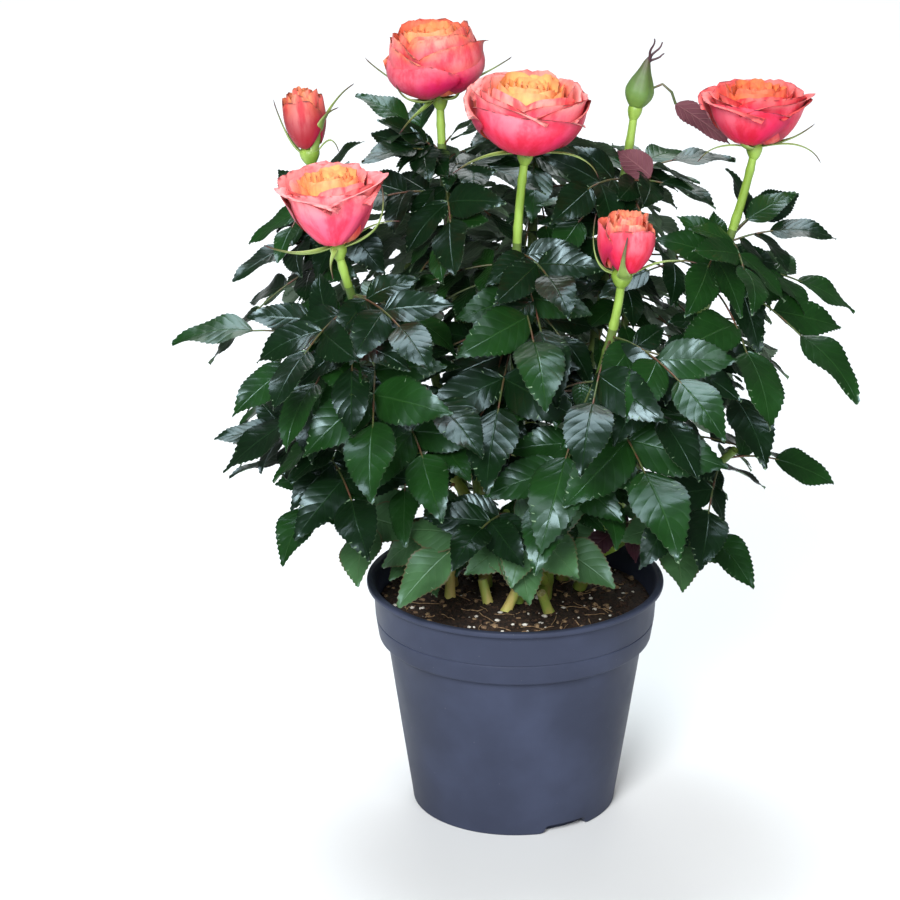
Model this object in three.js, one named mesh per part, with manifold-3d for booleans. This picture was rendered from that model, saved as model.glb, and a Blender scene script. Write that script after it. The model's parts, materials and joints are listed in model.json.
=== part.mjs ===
// A patio rose in flower in its nursery pot, in millimetres, +Z up.
// The origin is the middle of the pot's flat underside. -Y is the front and +X is to its right.
// Each shoot is one smooth curve from the soil, or from a fork, to its top. Its lower stretch is a bare
// cane or bough, its middle stretch is the stem of one mass of leaves, and its upper stretch is the stalk
// of its bloom. The three stretches are separate solids that meet face to face.

import * as THREE from "three";
import { mergeVertices } from "three/addons/utils/BufferGeometryUtils.js";
import Module from "manifold-3d";

const wasm = await Module();
wasm.setup();

const TURN = 2 * Math.PI;
const UP = new THREE.Vector3(0, 0, 1);
const FRONT = new THREE.Vector3(0, -1, 0);
const BACK = new THREE.Vector3(0, 1, 0);
const GAP = 0.3; // between pieces that touch
const SEED = 7;

// Pot: a round thin-walled nursery pot with a stepped collar under its lip
const POT = {
  height: 104,
  footRadius: 44.8,
  bodyTopRadius: 56.3,
  collarHeight: 78,
  collarRadius: 59.7,
  creaseHeight: 87,
  creaseRadius: 61.2,
  lipHeight: 101.6,
  lipRadius: 65,
  lipWidth: 3,
  wall: 1.2,
  floor: 5,
  sides: 30,
};
const NOTCH = { width: 21.5, depth: 8, height: 3.8, azimuth: THREE.MathUtils.degToRad(31) };

// Soil: level round the canes and a little lower at the pot's wall
const SOIL = { top: 95, levelRadius: 38, edgeTop: 92.5, sides: 24 };

// Canes, boughs and stalks
const CANE_FOOT_RADIUS = 3.1;
const BOUGH_FOOT_RADIUS = 2.5;
const SHOOT_TOP_RADIUS = 1.7;
const LIMB_SIDES = 6;
const LIMB_STEP = 26;
const STEM_SIDES = 5;
const FORK_ROOM = 0.5; // round a cane, where a bough is cut to its side
const ROD_STEPS = { limb: 5, stem: 4, stalk: 2 }; // straight lengths that leaves keep clear of

// Leaves: five leaflets on a curved stalk, as shares of the leaf's length or of a leaflet's
const LEAFLET_WIDTH = 0.56;
const LEAFLET_THICKNESS = 0.03;
const LEAFLET_FOLD = 0.13; // how far the edges rise above the midrib, of the half width
const LEAF_FACES_OUT = 0.55; // how far a leaf's face leans from upright to outward
const NAMED_LEAF_FACES_FRONT = 0.6; // and a named leaf's to the front
const TERMINAL_START = 0.53;
const LEAFLET_MIDDLE = 0.37; // where its blade is thickest
const TERMINAL_OUTLINE = { low: [0.24, 0.9], high: [0.56, 0.86] };
const LATERAL_OUTLINE = { front: [0.48, 1.12], rear: [0.42, 1.12] }; // fuller, as it has fewer points
const LEAF_HANDLE = 0.45; // where the handle that bends the stalk lies
const LEAF_ARCH = 0.2; // how far that handle is lifted, of the leaf's reach
const PAIRS = [
  { at: 0.24, length: 0.66, angle: THREE.MathUtils.degToRad(74) },
  { at: 0.4, length: 0.86, angle: THREE.MathUtils.degToRad(58) },
];
// Points that hold either kind of leaflet between them
const LEAFLET_HULL = [
  [-0.02, 0],
  [0.3, 1.12],
  [0.3, -1.12],
  [0.56, 1.12],
  [0.56, -1.12],
  [1, 0],
];
const LATERAL_DROOP = 0.2;
const LATERAL_ROLL = 0.15;
const LEAF_STALK_RADIUS = 1.05;
const LEAF_STALK_END = 0.8; // of that radius
const LEAFLET_FOOT = 1.3; // half the width of a lateral's foot on the stalk
const LEAF_SPACING = 8.5; // along the stem
const LEAF_TURN = THREE.MathUtils.degToRad(144);
const LEAF_REACH = [76, 94]; // from stem to tip
const LEAF_SLANT = [0.15, 1.05]; // how far its tip lies below its root, of its reach
const LEAF_SIZES = [1, 0.86, 0.72, 0.6];
const LEAF_TURNS = [0, 0.35, -0.35, 0.7, -0.7, 1.05, -1.05];
const LEAF_ROLL = 0.5; // the range of chance turns about the stalk
const LEAF_CLEARANCE = 0.7; // from limbs, blooms, the pot and leaves of other masses
const MASS_OVERREACH = 20; // how far a leaf may pass the middle between its mass and the next
const POT_CLEARANCE = { beside: 2, above: 1.5 };
const FEWEST_LEAFLETS = { named: 2, full: 5, small: 4 };

// How far leaves reach from the middle at each height, sideways; the depth of the crown is a share of it
const CROWN_REACH = [
  [95, 72],
  [112, 80],
  [124, 92],
  [140, 106],
  [154, 130],
  [200, 147],
  [262, 136],
  [300, 96],
  [325, 50],
];
const CROWN_DEPTH = 0.86;

// Shoots. foot: place on the soil, or fork: the shoot and height that it springs from.
// rise and lead are the curve's handles: how it leaves its foot, and where it heads for its top.
// leaves: the heights between which its mass of leaves grows. centre: the middle of that mass's space.
// named: leaves that make the crown's outline or face the front, as [height of root, x, y, z of tip].
const SHOOTS = [
  {
    name: "left",
    foot: [-28, 11],
    rise: [-5, -6, 52],
    lead: [8, 7, -42],
    top: [-73.5, -45, 265.5],
    leaves: [168, 250],
    centre: [-76, -48, 208],
    named: [
      [215, -146, -20, 217],
      [245, -34, -100, 232],
      [240, -98, -100, 216],
      [214, -58, -116, 182],
      [192, -30, -90, 164],
      [226, -118, -58, 198],
    ],
  },
  {
    name: "top_left",
    foot: [-13, 10],
    rise: [-2, 4, 65],
    lead: [1, -2, -60],
    top: [-33.3, 30, 309.5],
    leaves: [178, 292],
    centre: [-31, 30, 246],
    named: [
      [287, -70, 40, 310],
      [282, 12, 6, 276],
      [287, -66, 4, 290],
      [276, -26, -34, 252],
      [270, -82, 10, 262],
    ],
  },
  {
    name: "top_middle",
    foot: [1, -8],
    rise: [2, 2, 65],
    lead: [-8, 2, -60],
    top: [3, -5, 295],
    leaves: [165, 258],
    centre: [0, -38, 226],
    named: [
      [253, 22, -66, 244],
      [238, 12, -90, 212],
      [216, -12, -88, 176],
    ],
  },
  {
    name: "right",
    foot: [28, 8],
    rise: [18, -3, 42],
    lead: [-9, -4, -52],
    top: [99.5, 5, 295.5],
    leaves: [150, 262],
    centre: [92, 0, 208],
    named: [
      [257, 121, 32, 269],
      [256, 135, 0, 259],
      [256, 70, -44, 238],
      [244, 146, 22, 219],
      [240, 143, -40, 199],
      [236, 104, -76, 200],
      [212, 104, -62, 178],
    ],
  },
  {
    name: "front",
    foot: [13, -4],
    rise: [2, -8, 50],
    lead: [-3, 2, -40],
    top: [43, -50, 256],
    leaves: [152, 234],
    centre: [48, -62, 182],
    named: [
      [230, 84, -106, 206],
      [228, 26, -122, 196],
      [200, 66, -122, 160],
      [184, 8, -102, 146],
    ],
  },
  {
    name: "top_right",
    foot: [21, 19],
    rise: [2, 4, 60],
    lead: [-6, -2, -50],
    top: [49.7, 35, 304],
    leaves: [176, 280],
    centre: [48, 38, 240],
    named: [
      [275, 94, 40, 282],
      [275, 14, -10, 268],
      [274, 84, 6, 270],
      [264, 24, -12, 236],
      [275, 74, 70, 276],
    ],
  },
  {
    name: "back_middle",
    foot: [6, 25],
    rise: [0, 4, 60],
    lead: [-2, -8, -50],
    top: [8, 62, 297],
    leaves: [186, 295],
    centre: [8, 72, 248],
    named: [
      [293, -20, 30, 290],
      [284, 6, 12, 262],
      [290, -22, 108, 276],
    ],
  },
  {
    name: "back_left",
    foot: [-18, 27],
    rise: [-2, 6, 40],
    lead: [6, -8, -34],
    top: [-52, 88, 232],
    leaves: [124, 230],
    centre: [-46, 84, 172],
    named: [],
  },
  {
    name: "far_left",
    fork: ["top_left", 128],
    rise: [-20, 4, 24],
    lead: [2, -2, -50],
    top: [-89.5, 35, 284],
    leaves: [168, 268],
    centre: [-92, 42, 224],
    named: [
      [248, -122, 8, 236],
      [262, -117, 40, 243],
      [256, -56, -12, 246],
    ],
  },
  {
    name: "left_low",
    fork: ["left", 108],
    rise: [-18, -2, 10],
    lead: [18, 2, -14],
    top: [-94, -14, 176],
    leaves: [118, 175],
    centre: [-82, -16, 142],
    named: [
      [172, -129, -20, 174],
      [160, -123, -20, 157],
      [158, -98, -60, 132],
      [140, -67, -52, 120],
      [164, -60, -88, 146],
    ],
  },
  {
    name: "right_low",
    fork: ["right", 112],
    rise: [16, -6, 8],
    lead: [-14, 8, -16],
    top: [94, -26, 174],
    leaves: [118, 173],
    centre: [82, -22, 140],
    named: [
      [168, 137, -10, 152],
      [142, 101, -50, 119],
      [140, 70, -66, 124],
      [166, 76, -92, 144],
    ],
  },
  {
    name: "front_low",
    fork: ["front", 104],
    rise: [-6, -12, 8],
    lead: [0, 8, -14],
    top: [-4, -50, 154],
    leaves: [113, 153],
    centre: [0, -58, 132],
    named: [
      [150, -49, -70, 118],
      [146, 6, -77, 122],
      [140, 42, -62, 124],
      [152, -26, -94, 144],
      [150, 26, -86, 138],
    ],
  },
  {
    name: "back_right",
    fork: ["top_right", 116],
    rise: [6, 16, 10],
    lead: [-4, -10, -32],
    top: [56, 92, 232],
    leaves: [128, 230],
    centre: [52, 88, 170],
    named: [],
  },
];

// Blooms. kind: open, opening (coloured petals still upright) or closed (a green bud).
// flare and ball: how wide its rim is and how far its sides bulge, of its radius.
// lean: how far its axis turns from upright, sideways and to the front.
const BLOOMS = [
  { on: "top_left", kind: "open", radius: 20, height: 30, flare: 0.84, ball: 0.24, lean: [-0.07, 0.06] },
  { on: "top_middle", kind: "open", radius: 23.5, height: 30, flare: 0.98, ball: 0.08, lean: [0.08, 0.1] },
  { on: "left", kind: "open", radius: 22.5, height: 30, flare: 0.98, ball: 0.06, lean: [-0.24, 0.14] },
  { on: "right", kind: "open", radius: 22, height: 24.5, flare: 1.02, ball: 0, lean: [0, 0] },
  { on: "far_left", kind: "opening", radius: 9.5, height: 26, flare: 0.75, ball: 0.25, lean: [-0.06, 0] },
  { on: "front", kind: "opening", radius: 12.5, height: 24, flare: 0.88, ball: 0.2, lean: [0.1, 0.05] },
  { on: "top_right", kind: "closed", radius: 6.4, height: 18, flare: 0, ball: 0, lean: [0.2, 0] },
];
const HIP_RADIUS = 4.6;
const HIP_LENGTH = 4; // from the end of the stalk's curve to the foot of the flower
const SEPALS = 5;
const SEPAL_WIDTH = 5;
const SEPAL_REACH = { open: 1.14, opening: 1.5, closed: 0.6 }; // from the axis, of the flower's radius
const PETAL_THICKNESS = 1;
// The hollow in the top of a flower's heart: how wide it is, of the rim, at each depth
const DISH = [
  { share: 0.72, drop: 1.2 },
  { share: 0.36, drop: 4 },
];

// Short green stubs that pruning left on the soil: [foot x, foot y, lean x, lean y, length]
const STUBS = [
  [-28.5, -2, 0, 0.1, 15],
  [-11.5, -9, -0.25, 0.15, 11],
  [-4, -17, 0.45, 0.1, 12],
  [15, -18, -0.3, -0.5, 13],
];
const STUB_RADIUS = 2.3;

const COLOURS = {
  pot: 0x3f424c,
  soil: 0x2b1c12,
  cane: 0x6f8a35,
  leaf: 0x1f4a26,
  bloom: 0xe8606a,
  bud: 0x77a03c,
};

// Small helpers

function vector([x, y, z]) {
  return new THREE.Vector3(x, y, z);
}

// Even pseudo-random numbers from 0 to 1 that are the same on every run.
function seededRandom(seed) {
  let state = seed >>> 0;
  return () => {
    state = (state + 0x6d2b79f5) >>> 0;
    let mixed = Math.imul(state ^ (state >>> 15), state | 1);
    mixed ^= mixed + Math.imul(mixed ^ (mixed >>> 7), mixed | 61);
    return ((mixed ^ (mixed >>> 14)) >>> 0) / 4294967296;
  };
}

// The value at x on a line through [x, y] pairs.
function along(pairs, x) {
  if (x <= pairs[0][0]) return pairs[0][1];
  for (let i = 1; i < pairs.length; i++) {
    const [x0, y0] = pairs[i - 1];
    const [x1, y1] = pairs[i];
    if (x <= x1) return y0 + ((y1 - y0) * (x - x0)) / (x1 - x0);
  }
  return pairs[pairs.length - 1][1];
}

// Solids

// A closed mesh from its points and triangles, turned to face out.
function solidOf(points, faces) {
  let volume = 0;
  for (const [a, b, c] of faces) volume += points[a].dot(points[b].clone().cross(points[c]));
  const outward = volume > 0 ? faces : faces.map(([a, b, c]) => [a, c, b]);
  const mesh = new wasm.Mesh({
    numProp: 3,
    vertProperties: new Float32Array(points.flatMap((point) => point.toArray())),
    triVerts: new Uint32Array(outward.flat()),
  });
  return new wasm.Manifold(mesh);
}

// A three.js geometry as a solid.
function solidFrom(geometry) {
  geometry.deleteAttribute("normal");
  geometry.deleteAttribute("uv");
  const merged = mergeVertices(geometry, 1e-3);
  const position = merged.attributes.position;
  const points = [];
  for (let i = 0; i < position.count; i++) points.push(new THREE.Vector3().fromBufferAttribute(position, i));
  const faces = [];
  for (let i = 0; i < merged.index.count; i += 3) {
    const face = [0, 1, 2].map((corner) => merged.index.getX(i + corner));
    if (new Set(face).size === 3) faces.push(face);
  }
  return solidOf(points, faces);
}

// A turned solid from its [radius, height] profile, which starts and ends on the axis.
function turned(profile, sides) {
  const outline = profile.map(([radius, height]) => new THREE.Vector2(radius, height));
  return solidFrom(new THREE.LatheGeometry(outline, sides).rotateX(Math.PI / 2));
}

// A solid skinned over rings that have equally many points, flat at both ends.
function lofted(rings) {
  const sides = rings[0].length;
  const last = (rings.length - 1) * sides;
  const faces = [];
  for (let ring = 0; ring < last; ring += sides) {
    for (let i = 0; i < sides; i++) {
      const a = ring + i;
      const b = ring + ((i + 1) % sides);
      faces.push([a, b, b + sides], [a, b + sides, a + sides]);
    }
  }
  for (let i = 1; i < sides - 1; i++) faces.push([0, i + 1, i], [last, last + i, last + i + 1]);
  return solidOf(rings.flat(), faces);
}

// A round tapering tube through stations that rise, each { point, heading, radius }.
function tube(stations, sides) {
  const rings = stations.map(({ point, heading, radius }) => {
    const across = heading.clone().cross(BACK).normalize();
    const upward = across.clone().cross(heading);
    return Array.from({ length: sides }, (_, i) =>
      point
        .clone()
        .addScaledVector(across, radius * Math.cos((TURN * i) / sides))
        .addScaledVector(upward, radius * Math.sin((TURN * i) / sides)),
    );
  });
  return lofted(rings);
}

// All the solids joined, with what sealed hollows and loose scraps that leaves dropped.
function joined(solids) {
  const bodies = wasm.Manifold.union(solids).decompose();
  return bodies.reduce((largest, body) => (body.volume() > largest.volume() ? body : largest));
}

// A solid moved from its own origin to a place and turned so that its +Z lies along an axis.
function placed(solid, place, axis) {
  const turn = new THREE.Quaternion().setFromUnitVectors(UP, axis);
  const matrix = new THREE.Matrix4().compose(place, turn, new THREE.Vector3(1, 1, 1));
  return solid.transform(matrix.elements);
}

// Shoots

// A cubic curve with its point and heading at a share of the way.
function curveOf(start, handleA, handleB, end) {
  const weigh = (a, b, c, d) =>
    start
      .clone()
      .multiplyScalar(a)
      .addScaledVector(handleA, b)
      .addScaledVector(handleB, c)
      .addScaledVector(end, d);
  return {
    point: (t) => weigh((1 - t) ** 3, 3 * t * (1 - t) ** 2, 3 * t * t * (1 - t), t ** 3),
    slope: (t) =>
      weigh(
        -3 * (1 - t) ** 2,
        3 * (1 - t) ** 2 - 6 * t * (1 - t),
        6 * t * (1 - t) - 3 * t * t,
        3 * t * t,
      ),
  };
}

// The share of the way at which a rising curve reaches a height.
function shareAt(curve, height) {
  let low = 0;
  let high = 1;
  for (let i = 0; i < 30; i++) {
    const middle = (low + high) / 2;
    if (curve.point(middle).z < height) low = middle;
    else high = middle;
  }
  return low;
}

// Adds to a shoot its curve, its radius along it, and the shares at which its stretches begin and end.
function grown(shoot, earlier) {
  const parent = shoot.fork && earlier.find(({ name }) => name === shoot.fork[0]);
  const start = parent
    ? parent.curve.point(shareAt(parent.curve, shoot.fork[1]))
    : new THREE.Vector3(...shoot.foot, SOIL.top + GAP);
  const end = vector(shoot.top);
  const handles = [start.clone().add(vector(shoot.rise)), end.clone().add(vector(shoot.lead))];
  const curve = curveOf(start, ...handles, end);
  const footRadius = parent ? BOUGH_FOOT_RADIUS : CANE_FOOT_RADIUS;
  const radius = (t) => THREE.MathUtils.lerp(footRadius, SHOOT_TOP_RADIUS, t);
  const [enter, leave] = shoot.leaves.map((height) => shareAt(curve, height));
  const [stemStart, stalkStart] = [enter, leave].map((t) => t + GAP / curve.slope(t).length());
  return { ...shoot, parent, curve, radius, enter, leave, stemStart, stalkStart };
}

// A stretch of a shoot from one share of its way to another, thicker by extra. A cane's foot is cut level.
function stretch(shoot, from, to, sides, extra = 0) {
  const length = shoot.curve.point(from).distanceTo(shoot.curve.point(to));
  const steps = Math.max(1, Math.round(length / LIMB_STEP));
  const stations = Array.from({ length: steps + 1 }, (_, i) => {
    const t = from + ((to - from) * i) / steps;
    const level = t === 0 && !shoot.parent;
    const heading = level ? UP : shoot.curve.slope(t).normalize();
    return { point: shoot.curve.point(t), heading, radius: shoot.radius(t) + extra };
  });
  return tube(stations, sides);
}

// The bare cane, or the bough cut to the side of the cane that it springs from.
function limbSolid(shoot) {
  const limb = stretch(shoot, 0, shoot.enter, LIMB_SIDES);
  if (!shoot.parent) return limb;
  const room = stretch(shoot.parent, 0, shoot.parent.enter, 2 * LIMB_SIDES, FORK_ROOM);
  return joined([limb.subtract(room)]);
}

// Leaves

// A leaf's plan: a point and a heading at each share of its curved stalk, and its leaflets with a frame each.
function plannedLeaf(root, tip, roll, front = 0) {
  const arch = LEAF_ARCH * root.distanceTo(tip);
  const handle = root.clone().lerp(tip, LEAF_HANDLE).addScaledVector(UP, arch);
  const at = (t) =>
    root
      .clone()
      .multiplyScalar((1 - t) ** 2)
      .addScaledVector(handle, 2 * t * (1 - t))
      .addScaledVector(tip, t * t);
  const headingAt = (t) =>
    handle
      .clone()
      .sub(root)
      .multiplyScalar(1 - t)
      .addScaledVector(tip.clone().sub(handle), t)
      .normalize();
  const outward = root.clone().add(tip).setZ(0).normalize();
  const facing = UP.clone().addScaledVector(outward, LEAF_FACES_OUT).addScaledVector(FRONT, front);
  const frameOf = (forward, turn) => {
    const square = facing.clone().addScaledVector(forward, -forward.dot(facing)).normalize();
    const normal = square.applyAxisAngle(forward, turn);
    return { forward, normal, left: normal.clone().cross(forward) };
  };
  const end = at(TERMINAL_START);
  const length = end.distanceTo(tip);
  const terminal = { base: end, length, ...frameOf(tip.clone().sub(end).normalize(), roll) };
  const pairs = PAIRS.map(({ at: share, length: size, angle }) => {
    const stalk = { base: at(share), ...frameOf(headingAt(share), roll) };
    const lateral = (side) => {
      const forward = stalk.forward
        .clone()
        .multiplyScalar(Math.cos(angle))
        .addScaledVector(stalk.left, side * Math.sin(angle))
        .addScaledVector(UP, -LATERAL_DROOP)
        .normalize();
      return { base: stalk.base, length: length * size, ...frameOf(forward, roll + side * LATERAL_ROLL) };
    };
    return { stalk, left: lateral(1), right: lateral(-1) };
  });
  return { root: { base: root, ...frameOf(headingAt(0), roll) }, terminal, pairs };
}

// A point of a leaflet: shares of its length forward and of its half width to the left.
function onLeaflet({ base, forward, left, normal, length }, u, v) {
  const half = (v * LEAFLET_WIDTH * length) / 2;
  return base
    .clone()
    .addScaledVector(forward, u * length)
    .addScaledVector(left, half)
    .addScaledVector(normal, LEAFLET_FOLD * Math.abs(half));
}

// A compound leaf as one closed mesh. A rim point lies on its sharp edge. A ridge point is one point on its
// upper face and one on its lower face.
function leafSolid({ root, terminal, pairs }) {
  const points = [];
  const faces = [];
  const rim = (point) => {
    points.push(point);
    return { top: points.length - 1, bottom: points.length - 1 };
  };
  const ridge = (point, normal, half) => {
    points.push(point.clone().addScaledVector(normal, half), point.clone().addScaledVector(normal, -half));
    return { top: points.length - 2, bottom: points.length - 1 };
  };
  const beside = ({ base, forward, left }, ahead, side, reach = LEAF_STALK_RADIUS) =>
    rim(base.clone().addScaledVector(forward, ahead).addScaledVector(left, side * reach));
  const rootRidge = ridge(root.base, root.normal, LEAF_STALK_RADIUS);
  const stalkRidges = pairs.map(({ stalk }) => ridge(stalk.base, stalk.normal, LEAF_STALK_RADIUS));
  const bladeHalf = ({ length }) => (LEAFLET_THICKNESS * length) / 2;
  const endRidge = ridge(terminal.base, terminal.normal, LEAF_STALK_END * LEAF_STALK_RADIUS);
  const middleRidge = ridge(onLeaflet(terminal, LEAFLET_MIDDLE, 0), terminal.normal, bladeHalf(terminal));
  const tip = rim(onLeaflet(terminal, 1, 0));
  const rootRims = [];
  for (const side of [1, -1]) {
    const cover = (a, b, c) => {
      const [p, q, r] = side > 0 ? [a, b, c] : [c, b, a];
      faces.push([p.top, q.top, r.top], [r.bottom, q.bottom, p.bottom]);
    };
    const fan = (centre, outline) => outline.slice(1).forEach((next, i) => cover(centre, outline[i], next));
    let previousRidge = rootRidge;
    let previousRim = beside(root, 0, side);
    rootRims.push(previousRim);
    pairs.forEach((pair, i) => {
      const near = beside(pair.stalk, -LEAFLET_FOOT, side);
      const far = beside(pair.stalk, LEAFLET_FOOT, side);
      cover(previousRidge, stalkRidges[i], near);
      cover(previousRidge, near, previousRim);
      const leaflet = side > 0 ? pair.left : pair.right;
      if (leaflet.skipped) {
        cover(stalkRidges[i], far, near);
      } else {
        const centre = ridge(onLeaflet(leaflet, LEAFLET_MIDDLE, 0), leaflet.normal, bladeHalf(leaflet));
        const front = rim(onLeaflet(leaflet, LATERAL_OUTLINE.front[0], -side * LATERAL_OUTLINE.front[1]));
        const rear = rim(onLeaflet(leaflet, LATERAL_OUTLINE.rear[0], side * LATERAL_OUTLINE.rear[1]));
        const end = rim(onLeaflet(leaflet, 1, 0));
        fan(centre, [stalkRidges[i], far, front, end, rear, near, stalkRidges[i]]);
      }
      previousRidge = stalkRidges[i];
      previousRim = far;
    });
    const foot = beside(terminal, 0, side, LEAF_STALK_END * LEAF_STALK_RADIUS);
    cover(previousRidge, endRidge, foot);
    cover(previousRidge, foot, previousRim);
    const low = rim(onLeaflet(terminal, TERMINAL_OUTLINE.low[0], side * TERMINAL_OUTLINE.low[1]));
    const high = rim(onLeaflet(terminal, TERMINAL_OUTLINE.high[0], side * TERMINAL_OUTLINE.high[1]));
    fan(middleRidge, [tip, high, low, foot, endRidge]);
  }
  const [leftRim, rightRim] = rootRims;
  faces.push([rootRidge.top, leftRim.top, rootRidge.bottom]);
  faces.push([rootRidge.top, rootRidge.bottom, rightRim.top]);
  return solidOf(points, faces);
}

// What a leaf must keep clear of, and its own leaflets and stalk, are pieces: points that share a radius,
// with the directions along which a gap between two pieces is looked for.

function pieceOf(points, radius, normals = [], edges = []) {
  const box = new THREE.Box3().setFromPoints(points).expandByScalar(radius + LEAF_CLEARANCE);
  const sum = points.reduce((total, point) => total.add(point), new THREE.Vector3());
  const centre = sum.divideScalar(points.length);
  return { points, radius, normals, edges, box, centre };
}

function leafletPiece(leaflet) {
  const { forward, left, normal, length } = leaflet;
  const points = LEAFLET_HULL.map(([u, v]) => onLeaflet(leaflet, u, v));
  return pieceOf(points, (LEAFLET_THICKNESS * length) / 2, [normal, forward, left], [forward, left]);
}

function rodPiece(from, to, radius) {
  return pieceOf([from, to], radius, [], [to.clone().sub(from).normalize()]);
}

// Whether two pieces have the clearance between them along one of the directions.
function apart(a, b) {
  if (!a.box.intersectsBox(b.box)) return true;
  const directions = [...a.normals, ...b.normals, b.centre.clone().sub(a.centre)];
  for (const edge of a.edges) {
    for (const other of b.edges) directions.push(edge.clone().cross(other));
  }
  const needed = a.radius + b.radius + LEAF_CLEARANCE;
  return directions.some((direction) => {
    const size = direction.length();
    if (size < 1e-3) return false;
    const spread = (piece) => piece.points.map((point) => point.dot(direction) / size);
    const [onA, onB] = [spread(a), spread(b)];
    const gap = Math.max(Math.min(...onB) - Math.max(...onA), Math.min(...onA) - Math.max(...onB));
    return gap > needed;
  });
}

// Whether a point keeps outside the pot and inside the crown's reach, which the named leaves themselves set.
function insideCrown(point, named) {
  const besidePot = Math.hypot(point.x, point.y) > POT.lipRadius + POT_CLEARANCE.beside;
  const abovePot = point.z > POT.height + POT_CLEARANCE.above;
  const inReach = named || Math.hypot(point.x, point.y / CROWN_DEPTH) < along(CROWN_REACH, point.z);
  return (besidePot || abovePot) && inReach && point.z > CROWN_REACH[0][0];
}

// Whether a point keeps to the space of its mass, which ends a little past the middle to each other mass.
function insideSpace(point, mass, masses) {
  const own = point.distanceToSquared(mass.centre);
  return masses.every((other) => {
    if (other === mass) return true;
    const span = mass.centre.distanceTo(other.centre);
    return (point.distanceToSquared(other.centre) - own) / (2 * span) > -MASS_OVERREACH;
  });
}

// Adds a leaf to its mass if it fits, without those of its leaflets that don't. It tells whether it did.
// A leaf keeps clear of everything but its own stem and, where it was named, the leaves beside it.
function kept(leaf, least, mass, masses, fixed, named = false) {
  const beside = named ? [] : mass.blades;
  const others = masses.flatMap((other) => (other === mass ? beside : [...other.stalks, ...other.blades]));
  const blockers = [...fixed.filter(({ stemOf }) => stemOf !== mass.shoot), ...others];
  const inside = (point) => insideCrown(point, named) && insideSpace(point, mass, masses);
  const fits = (leaflet) => {
    const piece = leafletPiece(leaflet);
    return piece.points.every(inside) && blockers.every((blocker) => apart(piece, blocker));
  };
  const joints = [leaf.root.base, ...leaf.pairs.map(({ stalk }) => stalk.base), leaf.terminal.base];
  const rods = joints.slice(1).map((to, i) => rodPiece(joints[i], to, LEAF_STALK_RADIUS));
  const near = blockers.filter(({ shoot }) => shoot !== mass.shoot);
  if (!rods.every((rod) => near.every((blocker) => apart(rod, blocker)))) return false;
  if (!joints.every((point) => insideCrown(point, named)) || !fits(leaf.terminal)) return false;
  const laterals = leaf.pairs.flatMap(({ left, right }) => [left, right]);
  for (const lateral of laterals) lateral.skipped = !fits(lateral);
  const left = laterals.filter(({ skipped }) => !skipped);
  if (left.length + 1 < least) return false;
  mass.leaves.push(leaf);
  mass.stalks.push(...rods);
  mass.blades.push(...[leaf.terminal, ...left].map(leafletPiece));
  return true;
}

// The pieces of all that isn't a leaf: the shoots' stretches, the flowers and the pot's lip.
function fixedPieces(shoots) {
  const pieces = [];
  for (const shoot of shoots) {
    const rods = (from, to, steps, owner) => {
      for (let i = 0; i < steps; i++) {
        const [a, b] = [i, i + 1].map((step) => THREE.MathUtils.lerp(from, to, step / steps));
        const rod = rodPiece(shoot.curve.point(a), shoot.curve.point(b), shoot.radius(a));
        pieces.push({ ...rod, shoot, stemOf: owner });
      }
    };
    rods(0, shoot.enter, ROD_STEPS.limb, null);
    rods(shoot.stemStart, shoot.leave, ROD_STEPS.stem, shoot);
    const bloom = BLOOMS.find(({ on }) => on === shoot.name);
    if (!bloom) continue;
    rods(shoot.stalkStart, 1, ROD_STEPS.stalk, null);
    const middle = shoot.curve.point(1).addScaledVector(axisOf(bloom), HIP_LENGTH + bloom.height / 2);
    pieces.push(pieceOf([middle], 1 + Math.max(SEPAL_REACH.open * bloom.radius, 0.62 * bloom.height)));
  }
  const lip = (i) => {
    const angle = (TURN * i) / POT.sides;
    const radius = POT.lipRadius - POT.lipWidth / 2;
    return new THREE.Vector3(radius * Math.cos(angle), radius * Math.sin(angle), POT.lipHeight);
  };
  for (let i = 0; i < POT.sides; i++) pieces.push(rodPiece(lip(i), lip(i + 1), POT.lipWidth));
  return pieces;
}

// Grows the leaves of all the masses: the named ones first, and then one more on each mass in turn.
function growLeaves(masses, fixed, random) {
  for (const mass of masses) {
    const { curve, named } = mass.shoot;
    for (const [height, ...tip] of named) {
      const root = curve.point(shareAt(curve, height));
      const end = vector(tip);
      const roll = LEAF_ROLL * (random() - 0.5);
      const leaf = plannedLeaf(root, end, roll, NAMED_LEAF_FACES_FRONT);
      kept(leaf, FEWEST_LEAFLETS.named, mass, masses, fixed, true);
    }
    const length = curve.point(mass.shoot.stemStart).distanceTo(curve.point(mass.shoot.leave));
    mass.count = Math.floor(length / LEAF_SPACING) - mass.leaves.length;
    mass.azimuth = TURN * random();
  }
  for (let i = 0; masses.some(({ count }) => i < count); i++) {
    for (const mass of masses) if (i < mass.count) growLeaf(mass, i, masses, fixed, random);
  }
}

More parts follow.
